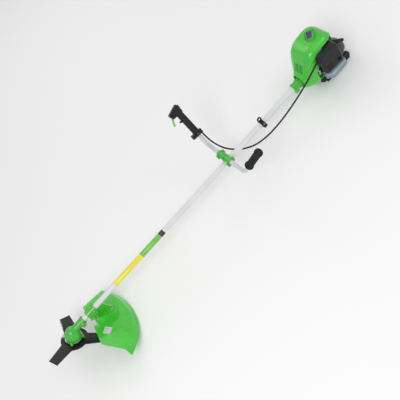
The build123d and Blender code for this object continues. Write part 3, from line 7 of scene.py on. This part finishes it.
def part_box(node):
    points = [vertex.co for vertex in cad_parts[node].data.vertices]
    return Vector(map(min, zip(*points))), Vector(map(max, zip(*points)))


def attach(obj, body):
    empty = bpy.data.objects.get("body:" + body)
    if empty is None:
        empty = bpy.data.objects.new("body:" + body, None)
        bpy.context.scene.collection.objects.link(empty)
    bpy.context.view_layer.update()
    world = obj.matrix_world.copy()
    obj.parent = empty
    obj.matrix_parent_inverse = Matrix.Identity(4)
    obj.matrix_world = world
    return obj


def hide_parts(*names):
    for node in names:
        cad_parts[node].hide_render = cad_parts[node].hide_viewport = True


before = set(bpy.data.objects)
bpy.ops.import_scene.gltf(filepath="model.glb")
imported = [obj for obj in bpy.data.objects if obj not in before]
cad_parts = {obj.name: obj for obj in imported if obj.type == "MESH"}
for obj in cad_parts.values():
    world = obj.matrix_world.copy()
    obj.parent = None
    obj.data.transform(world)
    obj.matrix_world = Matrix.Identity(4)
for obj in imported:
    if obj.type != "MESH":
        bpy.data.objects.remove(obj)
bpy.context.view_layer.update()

# Camera: one long lens looking down on the machine from its left, rolled so that
# the shaft runs from the lower left of the view to the upper right.
camera_place = (0.04144, -1.93488, 2.2192)
camera_turn = (30.1578, 31.3435, -40.6961)
bpy.ops.object.camera_add(
    location=camera_place, rotation=[math.radians(turn) for turn in camera_turn]
)
camera = bpy.context.object
camera.name = "camera"
camera.data.lens = 55.8
camera.data.sensor_width = 36
camera.data.clip_start = 0.1
camera.data.clip_end = 50
bpy.context.scene.camera = camera
bpy.context.scene.view_settings.view_transform = "Standard"

# Studio: a matt white floor, an even white surround and three large soft lamps.
# The key is high on the camera's side, the others lift the far side and the ends.
bpy.ops.mesh.primitive_plane_add(size=24, location=(0, 0, 0))
floor = bpy.context.object
floor.name = "studio_floor"
floor_paint = bpy.data.materials.new("floor_paint")
floor_paint.use_nodes = True
floor_shader = floor_paint.node_tree.nodes["Principled BSDF"]
floor_shader.inputs["Base Color"].default_value = (0.93, 0.93, 0.93, 1)
floor_shader.inputs["Roughness"].default_value = 0.9
floor.data.materials.append(floor_paint)

surround = bpy.data.worlds.new("studio_surround")
surround.use_nodes = True
surround.node_tree.nodes["Background"].inputs["Color"].default_value = (1, 1, 1, 1)
surround.node_tree.nodes["Background"].inputs["Strength"].default_value = 0.66
bpy.context.scene.world = surround

lamps = {
    "key_lamp": ((-1.2, -2.2, 3.0), (0.0, 0.0, 0.1), 1.4, 42),
    "fill_lamp": ((2.2, -1.2, 2.2), (0.5, 0.0, 0.1), 1.4, 10),
    "back_lamp": ((0.4, 2.6, 2.2), (0.0, 0.0, 0.1), 1.8, 10),
}
for lamp_name, (lamp_place, lamp_aim, lamp_size, lamp_power) in lamps.items():
    bpy.ops.object.light_add(type="AREA", location=lamp_place)
    lamp = bpy.context.object
    lamp.name = lamp_name
    lamp.data.size = lamp_size
    lamp.data.energy = lamp_power
    lamp_line = Vector(lamp_aim) - Vector(lamp_place)
    lamp.rotation_euler = lamp_line.to_track_quat("-Z", "Y").to_euler()


# Throttle cable and stop wire in one black plastic sheath, from the throttle handle
# down in a wide slack curve to the filter base. Its own spline is its centreline.
def effect(name, inputs, outputs):
    """An empty node group with float inputs and outputs, and its two end nodes."""
    tree = bpy.data.node_groups.new(name, "ShaderNodeTree")
    for label, value in inputs.items():
        socket = tree.interface.new_socket(label, in_out="INPUT", socket_type="NodeSocketFloat")
        socket.default_value = value
    for label in outputs:
        tree.interface.new_socket(label, in_out="OUTPUT", socket_type="NodeSocketFloat")
    return tree, tree.nodes.new("NodeGroupInput"), tree.nodes.new("NodeGroupOutput")


def add_node(tree, kind, settings=None, **sockets):
    """A shader node with its settings, and its sockets set or linked by name."""
    node = tree.nodes.new("ShaderNode" + kind)
    for key, value in (settings or {}).items():
        setattr(node, key, value)
    for key, value in sockets.items():
        socket = node.inputs[int(key[1:])] if key[0] == "i" and key[1:].isdigit() else node.inputs[key]
        if isinstance(value, bpy.types.NodeSocket):
            tree.links.new(value, socket)
        else:
            socket.default_value = value
    return node


def moulding_effect():
    """Broad patches, fine grain and long thin scuffs, all on object coordinates."""
    tree, start, end = effect(
        "moulding", {"Patch Scale": 14, "Grain Scale": 900}, ["Patch", "Grain", "Scuff"]
    )
    place = tree.nodes.new("ShaderNodeTexCoord").outputs["Object"]
    broad = add_node(tree, "TexNoise", Vector=place, Scale=start.outputs["Patch Scale"], Detail=4.0)
    patch = add_node(tree, "MapRange", i0=broad.outputs["Fac"], i1=0.35, i2=0.65)
    fine = add_node(tree, "TexNoise", Vector=place, Scale=start.outputs["Grain Scale"], Detail=2.0)
    drawn = add_node(tree, "Mapping", Vector=place, Rotation=(0.4, 0.7, 0.3), Scale=(6, 160, 90))
    lines = add_node(tree, "TexNoise", Vector=drawn.outputs[0], Scale=1.6, Detail=3.0)
    scuff = add_node(tree, "MapRange", i0=lines.outputs["Fac"], i1=0.66, i2=0.74)
    tree.links.new(patch.outputs[0], end.inputs["Patch"])
    tree.links.new(fine.outputs["Fac"], end.inputs["Grain"])
    tree.links.new(scuff.outputs[0], end.inputs["Scuff"])
    return tree


def edge_wear_and_highlight_effect():
    """Where the surface turns a corner, broken up by noise: paint rubbed thin on edges, and a painted
    highlight along them.
    """
    tree, start, end = effect("edge_wear_and_highlight", {"Width": 0.0006}, ["Edge"])
    soft = add_node(tree, "Bevel", {"samples": 4}, Radius=start.outputs["Width"])
    true = tree.nodes.new("ShaderNodeNewGeometry")
    dot = add_node(
        tree, "VectorMath", {"operation": "DOT_PRODUCT"}, i0=soft.outputs[0], i1=true.outputs["Normal"]
    )
    # Edge mask for rubbed paint and a painted highlight along the corners.
    corner = add_node(tree, "MapRange", i0=dot.outputs["Value"], i1=0.965, i2=0.75)
    place = tree.nodes.new("ShaderNodeTexCoord").outputs["Object"]
    broken = add_node(tree, "TexNoise", Vector=place, Scale=120.0, Detail=3.0)
    kept = add_node(tree, "MapRange", i0=broken.outputs["Fac"], i1=0.38, i2=0.62)
    edge = add_node(tree, "Math", {"operation": "MULTIPLY"}, i0=corner.outputs[0], i1=kept.outputs[0])
    tree.links.new(edge.outputs[0], end.inputs["Edge"])
    return tree


def dust_effect():
    """Fine dust that lies on what faces up, and thins out on slopes."""
    tree, start, end = effect("settled_dust", {"Amount": 0.2}, ["Dust"])
    true = tree.nodes.new("ShaderNodeNewGeometry")
    split = add_node(tree, "SeparateXYZ", i0=true.outputs["Normal"])
    upward = add_node(tree, "MapRange", i0=split.outputs["Z"], i1=0.25, i2=1.0)
    place = tree.nodes.new("ShaderNodeTexCoord").outputs["Object"]
    cloud = add_node(tree, "TexNoise", Vector=place, Scale=45.0, Detail=6.0)
    thin = add_node(tree, "MapRange", i0=cloud.outputs["Fac"], i1=0.42, i2=0.7)
    lying = add_node(tree, "Math", {"operation": "MULTIPLY"}, i0=upward.outputs[0], i1=thin.outputs[0])
    dust = add_node(
        tree, "Math", {"operation": "MULTIPLY"}, i0=lying.outputs[0], i1=start.outputs["Amount"]
    )
    tree.links.new(dust.outputs[0], end.inputs["Dust"])
    return tree


moulding, edge_wear_and_highlight, settled_dust = moulding_effect(), edge_wear_and_highlight_effect(), dust_effect()
dust_colour = (0.42, 0.39, 0.33, 1)


def blended(tree, amount, first, second):
    """One colour turning into another by a mask."""
    return add_node(tree, "Mix", {"data_type": "RGBA"}, i0=amount, i6=first, i7=second).outputs[2]


def scaled(tree, value, factor):
    """A mask made weaker or stronger."""
    return add_node(tree, "Math", {"operation": "MULTIPLY"}, i0=value, i1=factor).outputs[0]


def finish(
    name,
    colour,
    shade,
    edge,
    rough,
    metallic=0.0,
    coat=0.0,
    patch=14.0,
    grain=900.0,
    depth=0.00006,
    edge_wear_and_highlight_strength=0.5,
    edge_wear_and_highlight_width=0.0006,
    scuffs=0.25,
    dust=0.15,
    shine=0.5,
):
    """A finish with patches of shade, rubbed edges that also carry a painted highlight, scuffs, dust
    and a grained surface.
    """
    material = bpy.data.materials.new(name)
    material.use_nodes = True
    tree = material.node_tree
    shader = tree.nodes["Principled BSDF"]
    shader.inputs["Metallic"].default_value = metallic
    shader.inputs["Coat Weight"].default_value = coat
    shader.inputs["Specular IOR Level"].default_value = shine
    shader.inputs["Coat Roughness"].default_value = 0.12
    look = add_node(
        tree, "Group", {"node_tree": moulding}, **{"Patch Scale": patch, "Grain Scale": grain}
    )
    edge_wear_and_highlight_node = add_node(tree, "Group", {"node_tree": edge_wear_and_highlight}, Width=edge_wear_and_highlight_width)
    dusty = add_node(tree, "Group", {"node_tree": settled_dust}, Amount=dust)
    paint = blended(tree, look.outputs["Patch"], (*colour, 1), (*shade, 1))
    paint = blended(tree, scaled(tree, look.outputs["Scuff"], scuffs), paint, (*edge, 1))
    # Rubbed edges and a painted highlight: the edge mask turns the colour toward the edge colour.
    paint = blended(tree, scaled(tree, edge_wear_and_highlight_node.outputs["Edge"], edge_wear_and_highlight_strength), paint, (*edge, 1))
    paint = blended(tree, dusty.outputs["Dust"], paint, dust_colour)
    tree.links.new(paint, shader.inputs["Base Color"])
    gloss = add_node(
        tree, "MapRange", i0=look.outputs["Patch"], i1=0.0, i2=1.0, i3=rough[0], i4=rough[1]
    )
    tree.links.new(gloss.outputs[0], shader.inputs["Roughness"])
    bump = add_node(tree, "Bump", Height=look.outputs["Grain"], Strength=0.6, Distance=depth)
    tree.links.new(bump.outputs[0], shader.inputs["Normal"])
    return material


def dress(material, *names):
    """CAD nodes given this finish in place of their plain one."""
    for name in names:
        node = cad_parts[name]
        node.data.materials.clear()
        node.data.materials.append(material)


sheath_points = [
    (0.249489, 0.164301, 0.215038),
    (0.244994, 0.139793, 0.177566),
    (0.250756, 0.100712, 0.146692),
    (0.26265, 0.068712, 0.124075),
    (0.282881, 0.037712, 0.108053),
    (0.314544, -0.003288, 0.100474),
    (0.361437, -0.041288, 0.097146),
    (0.426605, -0.062288, 0.098919),
    (0.505954, -0.070288, 0.103993),
    (0.586599, -0.072288, 0.11501),
    (0.668887, -0.078288, 0.138962),
    (0.730449, -0.088288, 0.168948),
    (0.787116, -0.096288, 0.20118),
]
sheath_diameter = 0.008
sheath_line = bpy.data.curves.new("throttle_cable", "CURVE")
sheath_line.dimensions = "3D"
spline = sheath_line.splines.new("NURBS")
spline.points.add(len(sheath_points) - 1)
for point, place in zip(spline.points, sheath_points):
    point.co = (*place, 1)
spline.order_u = 3
spline.use_endpoint_u = True
sheath_line.resolution_u = 24
sheath_line.bevel_depth = sheath_diameter / 2
sheath_line.bevel_resolution = 6
sheath_line.use_fill_caps = True
cable = bpy.data.objects.new("throttle_cable", sheath_line)
bpy.context.scene.collection.objects.link(cable)
sheath_black = finish(
    "cable_sheath_black", (0.004, 0.004, 0.005), (0.009, 0.009, 0.01), (0.05, 0.05, 0.05),
    (0.38, 0.52), grain=1500.0, depth=0.00004, edge_wear_and_highlight_strength=0.1, scuffs=0.2, dust=0.02, shine=0.35,
)
sheath_line.materials.append(sheath_black)
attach(cable, "machine")
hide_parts("cable_loom")

# Cutting head: a green powder-coated aluminium casting that holds the bevel gears,
# with a pale dust cover rim below and yellow-passivated bolts.
casting_green = finish(
    "casting_green", (0.05, 0.5, 0.04), (0.035, 0.4, 0.03), (0.5, 0.6, 0.4),
    (0.3, 0.42), coat=0.35, patch=26.0, grain=520.0, depth=0.0002, edge_wear_and_highlight_strength=0.35, scuffs=0.15,
)
bright_rim = finish(
    "machined_aluminium", (0.78, 0.77, 0.7), (0.62, 0.61, 0.56), (0.9, 0.9, 0.88),
    (0.26, 0.42), metallic=1.0, patch=40.0, grain=1400.0, depth=0.00005, edge_wear_and_highlight_strength=0.5,
)
passivated = finish(
    "yellow_passivated_zinc", (0.8, 0.62, 0.22), (0.62, 0.56, 0.3), (0.9, 0.86, 0.7),
    (0.25, 0.42), metallic=1.0, patch=90.0, grain=1500.0, depth=0.00004, edge_wear_and_highlight_strength=0.6,
)
ground_steel = finish(
    "ground_steel", (0.56, 0.56, 0.56), (0.42, 0.42, 0.43), (0.8, 0.8, 0.8),
    (0.2, 0.36), metallic=1.0, patch=60.0, grain=1800.0, depth=0.00003, edge_wear_and_highlight_strength=0.4, dust=0.0,
)
dress(casting_green, "gear_case")
dress(bright_rim, "head_dust_cover", "upper_flange", "lower_flange")
dress(passivated, "head_bolts", "clamp_screws")
dress(ground_steel, "bevel_gear", "output_spindle", "bevel_pinion", "ball_bearings")


# Blade: three-tooth spring steel, stamped, black coated, then ground at its edges,
# held between two flanges by a left-hand nut in a pressed steel cup.
def blade_finish(name, centre):
    """Black coating with turned rings about the bore, bright where the edges are ground, with a
    painted highlight along every edge.
    """
    material = finish(
        name, (0.004, 0.004, 0.005), (0.011, 0.011, 0.012), (0.26, 0.26, 0.27),
        (0.34, 0.5), coat=0.05, patch=30.0, grain=700.0, depth=0.00008,
        edge_wear_and_highlight_strength=0.45, edge_wear_and_highlight_width=0.0009, scuffs=0.2, dust=0.02, shine=0.35,
    )
    tree = material.node_tree
    shader = tree.nodes["Principled BSDF"]
    place = tree.nodes.new("ShaderNodeTexCoord").outputs["Object"]
    away = add_node(tree, "VectorMath", {"operation": "DISTANCE"}, i0=place, i1=centre)
    rings = add_node(
        tree, "Math", {"operation": "SINE"}, i0=scaled(tree, away.outputs["Value"], 5200.0)
    )
    old_bump = shader.inputs["Normal"].links[0].from_node
    turned = add_node(
        tree, "Bump", Height=rings.outputs[0], Strength=0.12, Distance=0.00005,
        Normal=old_bump.outputs[0],
    )
    tree.links.new(turned.outputs[0], shader.inputs["Normal"])
    return material


blade_low, blade_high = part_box("lower_flange")
blade_centre = (blade_low + blade_high) / 2
dress(blade_finish("blade_black", tuple(blade_centre)), "blade")
dress(ground_steel, "nut_cup")
dress(passivated, "blade_nut")

# Main tube: drawn aluminium, powder-coated white, with the drive shaft on bushes in it.
# Two thin sleeves are shrunk on behind the guard, one yellow and one green.
tube_white = finish(
    "tube_white", (0.74, 0.74, 0.75), (0.68, 0.68, 0.69), (0.62, 0.62, 0.6),
    (0.34, 0.46), coat=0.12, patch=9.0, grain=650.0, depth=0.00003, edge_wear_and_highlight_strength=0.0, scuffs=0.0, dust=0.0,
)
dress(tube_white, "shaft_tube")
dress(ground_steel, "drive_shaft")

tube_fall = math.radians(2.84046)
tube_along = Vector((math.cos(tube_fall), 0, -math.sin(tube_fall)))
tube_start = Vector((-0.827215, -0.012288, 0.194169))
tube_radius = 0.013
sleeve_wall = 0.0004


def tube_sleeve(name, start, end, material):
    """A thin sleeve on the tube with rounded ends, from start to end in metres along it."""
    bpy.ops.object.select_all(action="DESELECT")
    bpy.ops.mesh.primitive_cylinder_add(
        vertices=64, radius=tube_radius + sleeve_wall, depth=end - start, end_fill_type="NOTHING",
        location=tube_start + tube_along * (start + end) / 2,
        rotation=(0, math.pi / 2 + tube_fall, 0),
    )
    sleeve = bpy.context.object
    sleeve.name = name
    bpy.ops.object.transform_apply(location=True, rotation=True, scale=True)
    wall = sleeve.modifiers.new("wall", "SOLIDIFY")
    wall.thickness = sleeve_wall * 0.9
    wall.offset = -1
    bpy.ops.object.modifier_apply(modifier=wall.name)
    rounding = sleeve.modifiers.new("rounding", "BEVEL")
    rounding.width = sleeve_wall * 0.35
    rounding.segments = 2
    rounding.limit_method = "ANGLE"
    bpy.ops.object.modifier_apply(modifier=rounding.name)
    bpy.ops.object.shade_smooth_by_angle(angle=math.radians(35))
    sleeve.data.materials.append(material)
    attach(sleeve, "machine")
    return sleeve


sleeve_yellow = finish(
    "sleeve_yellow", (0.86, 0.8, 0.06), (0.8, 0.72, 0.05), (0.9, 0.88, 0.6),
    (0.25, 0.36), coat=0.4, patch=20.0, grain=1200.0, depth=0.00003, edge_wear_and_highlight_strength=0.2, scuffs=0.1,
)
sleeve_green = finish(
    "sleeve_green", (0.2, 0.58, 0.07), (0.15, 0.5, 0.05), (0.6, 0.75, 0.5),
    (0.25, 0.36), coat=0.4, patch=20.0, grain=1200.0, depth=0.00003, edge_wear_and_highlight_strength=0.2, scuffs=0.1,
)
sleeve_black = finish(
    "sleeve_black", (0.005, 0.005, 0.005), (0.012, 0.012, 0.012), (0.2, 0.2, 0.2),
    (0.3, 0.42), coat=0.3, patch=20.0, grain=1200.0, depth=0.00003, edge_wear_and_highlight_strength=0.2, scuffs=0.1,
)
yellow_start = 0.292
green_start = 0.4692
band_start = 0.5922
band_end = 0.617
sleeve_space = 0.0002
tube_sleeve("yellow_sleeve", yellow_start, green_start - sleeve_space, sleeve_yellow)
tube_sleeve("green_sleeve", green_start, band_start - sleeve_space, sleeve_green)
tube_sleeve("sleeve_end_band", band_start, band_end, sleeve_black)


# Guard: injection-moulded green plastic with a hanging skirt, hooked over a moulded
# bracket that is clamped to the tube by a cap and four bolts.
guard_green = finish(
    "guard_green", (0.045, 0.6, 0.02), (0.03, 0.48, 0.018), (0.45, 0.72, 0.35),
    (0.16, 0.28), coat=0.6, patch=11.0, grain=420.0, depth=0.00006, edge_wear_and_highlight_strength=0.3, scuffs=0.2, dust=0.12,
)
cover_green = finish(
    "cover_green", (0.05, 0.58, 0.025), (0.03, 0.46, 0.02), (0.42, 0.68, 0.34),
    (0.2, 0.34), coat=0.5, patch=16.0, grain=600.0, depth=0.00008, edge_wear_and_highlight_strength=0.3, scuffs=0.15,
)
dress(guard_green, "guard")
dress(cover_green, "guard_bracket", "guard_cap")

# Label plate on the guard: a square of thin silvered film with rounded corners, left blank,
# stuck point-down on the slope of the plate. The film stands a hair above the plastic.
label_silver = finish(
    "label_silver", (0.72, 0.74, 0.72), (0.62, 0.64, 0.62), (0.85, 0.85, 0.85),
    (0.28, 0.4), metallic=0.3, coat=0.2, patch=50.0, grain=1300.0, depth=0.00003,
    edge_wear_and_highlight_strength=0.2, scuffs=0.35,
)


def flat_plate(name, size, thickness, corner, place, facing, turn, material):
    """A thin plate with rounded corners and a soft upper edge, lying on a surface."""
    bpy.ops.object.select_all(action="DESELECT")
    bpy.ops.mesh.primitive_cube_add(size=1)
    plate = bpy.context.object
    plate.name = name
    plate.scale = (size[0], size[1], thickness)
    bpy.ops.object.transform_apply(location=False, rotation=False, scale=True)
    for picked, width, segments in (("upright", corner, 5), ("top", thickness * 0.4, 2)):
        for edge in plate.data.edges:
            ends = [plate.data.vertices[i].co for i in edge.vertices]
            upright = abs(ends[0].z - ends[1].z) > thickness / 2
            top = min(ends[0].z, ends[1].z) > 0
            edge.select = upright if picked == "upright" else top
        bpy.ops.object.mode_set(mode="EDIT")
        bpy.ops.mesh.select_mode(type="EDGE")
        bpy.ops.mesh.bevel(offset=width, segments=segments, profile=0.5)
        bpy.ops.mesh.select_all(action="DESELECT")
        bpy.ops.object.mode_set(mode="OBJECT")
    lying = Vector(facing).to_track_quat("Z", "Y").to_matrix().to_4x4()
    spin_in_plane = Matrix.Rotation(turn, 4, "Z")
    plate.matrix_world = Matrix.Translation(place) @ lying @ spin_in_plane
    bpy.ops.object.transform_apply(location=True, rotation=True, scale=True)
    bpy.ops.object.shade_smooth_by_angle(angle=math.radians(30))
    plate.data.materials.append(material)
    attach(plate, "machine")
    return plate


guard_slope = Vector((0.5025, 0.0, 0.8646))
label_place = Vector((-0.717, -0.0965, 0.10929)) + guard_slope * 0.0002
flat_plate(
    "guard_label", (0.036, 0.036), 0.0006, 0.003, label_place, guard_slope,
    math.radians(45), label_silver,
)

# Handlebar: two bent aluminium tubes, powder-coated pale grey, in a green two-part clamp.
# The left bar ends in a ribbed rubber grip, the right one in the throttle handle.
# The black hanger for the harness is clamped round the tube behind them.
bar_white = finish(
    "bar_white", (0.66, 0.66, 0.69), (0.58, 0.58, 0.61), (0.5, 0.5, 0.5),
    (0.32, 0.44), coat=0.15, patch=12.0, grain=650.0, depth=0.00003, edge_wear_and_highlight_strength=0.2, scuffs=0.03, dust=0.03,
)
soft_rubber = finish(
    "soft_rubber", (0.006, 0.006, 0.007), (0.014, 0.015, 0.017), (0.06, 0.06, 0.06),
    (0.62, 0.8), patch=22.0, grain=1100.0, depth=0.00018, edge_wear_and_highlight_strength=0.3, scuffs=0.15, dust=0.04,
    shine=0.3,
)
moulded_black = finish(
    "moulded_black", (0.004, 0.004, 0.005), (0.01, 0.01, 0.011), (0.07, 0.07, 0.07),
    (0.3, 0.46), patch=18.0, grain=1000.0, depth=0.00012, edge_wear_and_highlight_strength=0.3, scuffs=0.15, dust=0.03,
    shine=0.35,
)
trigger_green = finish(
    "trigger_green", (0.12, 0.6, 0.05), (0.09, 0.52, 0.04), (0.5, 0.78, 0.4),
    (0.24, 0.36), coat=0.3, patch=60.0, grain=1100.0, depth=0.00006, edge_wear_and_highlight_strength=0.4, scuffs=0.2, dust=0.05,
)
switch_grey = finish(
    "switch_grey", (0.03, 0.03, 0.032), (0.045, 0.045, 0.048), (0.3, 0.3, 0.3),
    (0.28, 0.4), patch=80.0, grain=1100.0, depth=0.00006, edge_wear_and_highlight_strength=0.4, scuffs=0.2, dust=0.05,
)
dress(bar_white, "left_handlebar", "right_handlebar")
dress(casting_green, "handle_base", "handle_cap")
dress(soft_rubber, "left_grip", "shaft_bushes")
dress(moulded_black, "throttle_body", "throttle_cover", "harness_hanger")
dress(trigger_green, "throttle_trigger", "throttle_lock")
dress(switch_grey, "stop_switch")

# Clutch and engine core: a green coated bell housing screwed to the fan cover, a steel
# drum and shoes in it, and raw die-cast crankcase, cylinder, flywheel and carburettor.
raw_cast = finish(
    "raw_die_cast", (0.55, 0.55, 0.54), (0.42, 0.42, 0.42), (0.78, 0.78, 0.78),
    (0.4, 0.58), metallic=1.0, patch=30.0, grain=380.0, depth=0.0003, edge_wear_and_highlight_strength=0.4, dust=0.3,
)
dress(casting_green, "clutch_housing")
dress(ground_steel, "clutch_drum", "clutch_shoes", "crankshaft", "crank_bearings", "connecting_rod")
dress(raw_cast, "flywheel", "crankcase_front", "crankcase_rear", "cylinder", "piston", "carburettor")

# Ignition: a coil potted in black plastic beside the flywheel, and the spark plug
# with its glazed insulator, screwed into the cylinder head.
glazed = finish(
    "glazed_ceramic", (0.86, 0.85, 0.8), (0.8, 0.78, 0.72), (0.9, 0.9, 0.88),
    (0.1, 0.2), coat=0.6, patch=60.0, grain=700.0, depth=0.00003, edge_wear_and_highlight_strength=0.1, scuffs=0.1,
)
dress(glazed, "spark_plug")
dress(moulded_black, "ignition_coil")

# Engine covers: two green mouldings, the fan cover in front and the cylinder cover
# behind it, both screwed to the crankcase.
dress(cover_green, "fan_cover", "cylinder_cover")

# Raised panel on the dome: part of the same green moulding, a rounded step on its
# rear top that stiffens it and carries the badge.
dome_facing = Vector((0.027, 0.034, 0.999)).normalized()
dome_top = Vector((0.868195, -0.010288, 0.259832))
flat_plate(
    "dome_panel", (0.046, 0.062), 0.009, 0.014, dome_top + Vector((0.002, 0, -0.0018)),
    dome_facing, 0.0, cover_green,
)

# Dome screw: a zinc-plated pan-head screw in front of the raised panel, which holds
# the cylinder cover down to the engine.
screw_radius = 0.0042
screw_height = 0.0028
screw_crown = 0.0005
socket_sunk = 0.0016


def cover_screw(name, place, facing):
    """A pan head with a rounded rim and a sunk socket."""
    bpy.ops.object.select_all(action="DESELECT")
    bpy.ops.mesh.primitive_cylinder_add(vertices=24, radius=screw_radius, depth=screw_height)
    screw = bpy.context.object
    screw.name = name
    bpy.ops.object.mode_set(mode="EDIT")
    bpy.ops.mesh.select_all(action="DESELECT")
    bpy.ops.object.mode_set(mode="OBJECT")
    for face in screw.data.polygons:
        face.select = face.normal.z > 0.9
    bpy.ops.object.mode_set(mode="EDIT")
    bpy.ops.mesh.select_mode(type="FACE")
    bpy.ops.mesh.inset(thickness=0.0006)
    bpy.ops.transform.translate(value=(0, 0, screw_crown))
    bpy.ops.mesh.inset(thickness=socket_sunk)
    bpy.ops.mesh.extrude_region_move(TRANSFORM_OT_translate={"value": (0, 0, -socket_sunk)})
    bpy.ops.object.mode_set(mode="OBJECT")
    rounding = screw.modifiers.new("rounding", "BEVEL")
    rounding.width = 0.0003
    rounding.segments = 2
    rounding.limit_method = "ANGLE"
    bpy.ops.object.modifier_apply(modifier=rounding.name)
    turned = Vector(facing).to_track_quat("Z", "Y").to_matrix().to_4x4()
    screw.matrix_world = Matrix.Translation(place) @ turned
    bpy.ops.object.transform_apply(location=True, rotation=True, scale=True)
    bpy.ops.object.shade_smooth_by_angle(angle=math.radians(35))
    screw.data.materials.append(passivated)
    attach(screw, "machine")
    return screw


cover_screw("dome_screw", Vector((0.838, -0.0155, 0.2597)), (-0.085, 0.0, 0.996))

# Badge on the dome: a dark blue plastic plate with a silver frame, let into the top
# of the raised panel. It carries no lettering here.
badge_blue = finish(
    "badge_blue", (0.02, 0.035, 0.12), (0.015, 0.028, 0.09), (0.3, 0.34, 0.45),
    (0.15, 0.25), coat=0.6, patch=50.0, grain=1300.0, depth=0.00003, edge_wear_and_highlight_strength=0.2, scuffs=0.3,
)
badge_place = dome_top + dome_facing * 0.003
flat_plate(
    "badge_frame", (0.026, 0.05), 0.0009, 0.006, badge_place, dome_facing,
    0.0, label_silver,
)
flat_plate(
    "badge_face", (0.0225, 0.0465), 0.0009, 0.0045, badge_place + dome_facing * 0.0003,
    dome_facing, 0.0, badge_blue,
)

# Air filter: a black moulded case on a black base beside the cylinder, with a foam
# element in it, and the carburettor with its lever and primer bulb below.
dress(moulded_black, "filter_base", "filter_cover", "choke_lever")
foam_dark = finish(
    "filter_foam", (0.05, 0.05, 0.05), (0.09, 0.09, 0.09), (0.16, 0.16, 0.16),
    (0.85, 0.95), patch=60.0, grain=1800.0, depth=0.0008, edge_wear_and_highlight_strength=0.2, dust=0.2,
)
dress(foam_dark, "filter_element")
dress(ground_steel, "throttle_lever")
dress(soft_rubber, "primer_bulb")

# Muffler: two pressed steel halves, seamed and painted with dark heat-resistant paint.
heat_paint = finish(
    "heat_paint", (0.035, 0.033, 0.032), (0.1, 0.07, 0.05), (0.3, 0.22, 0.16),
    (0.5, 0.7), metallic=0.4, patch=30.0, grain=500.0, depth=0.0002, edge_wear_and_highlight_strength=0.5, dust=0.3,
)
dress(heat_paint, "muffler")

# Starter: a black ribbed housing over the rope reel at the rear, with its pull handle.
dress(moulded_black, "starter_housing", "starter_reel", "starter_handle")


# Fuel tank: blow-moulded translucent plastic, its lower part darkened with painted shade, with a
# screwed black cap, on the black moulded stand that the machine rests on.
def tank_finish(name, painted_shade_height):
    """Translucent grey-blue wall, darkened with painted shade below a set height."""
    material = finish(
        name, (0.5, 0.6, 0.7), (0.42, 0.52, 0.62), (0.75, 0.8, 0.85),
        (0.3, 0.42), coat=0.2, patch=24.0, grain=300.0, depth=0.0003, edge_wear_and_highlight_strength=0.2, dust=0.2,
    )
    tree = material.node_tree
    shader = tree.nodes["Principled BSDF"]
    shader.inputs["Transmission Weight"].default_value = 0.25
    place = tree.nodes.new("ShaderNodeTexCoord").outputs["Object"]
    height = add_node(tree, "SeparateXYZ", i0=place).outputs["Z"]
    # Painted shade: the wall's colour turns darker blue below a set height.
    below = add_node(
        tree, "MapRange", i0=height, i1=painted_shade_height + 0.001, i2=painted_shade_height - 0.001
    ).outputs[0]
    unshaded_wall = shader.inputs["Base Color"].links[0].from_socket
    painted_shade_wall = blended(tree, scaled(tree, below, 0.55), unshaded_wall, (0.2, 0.27, 0.35, 1))
    tree.links.new(painted_shade_wall, shader.inputs["Base Color"])
    return material


# Height below which the tank's wall carries painted shade.
painted_shade_height = 0.031
dress(tank_finish("tank_translucent", painted_shade_height), "fuel_tank")
dress(moulded_black, "fuel_cap", "tank_stand")
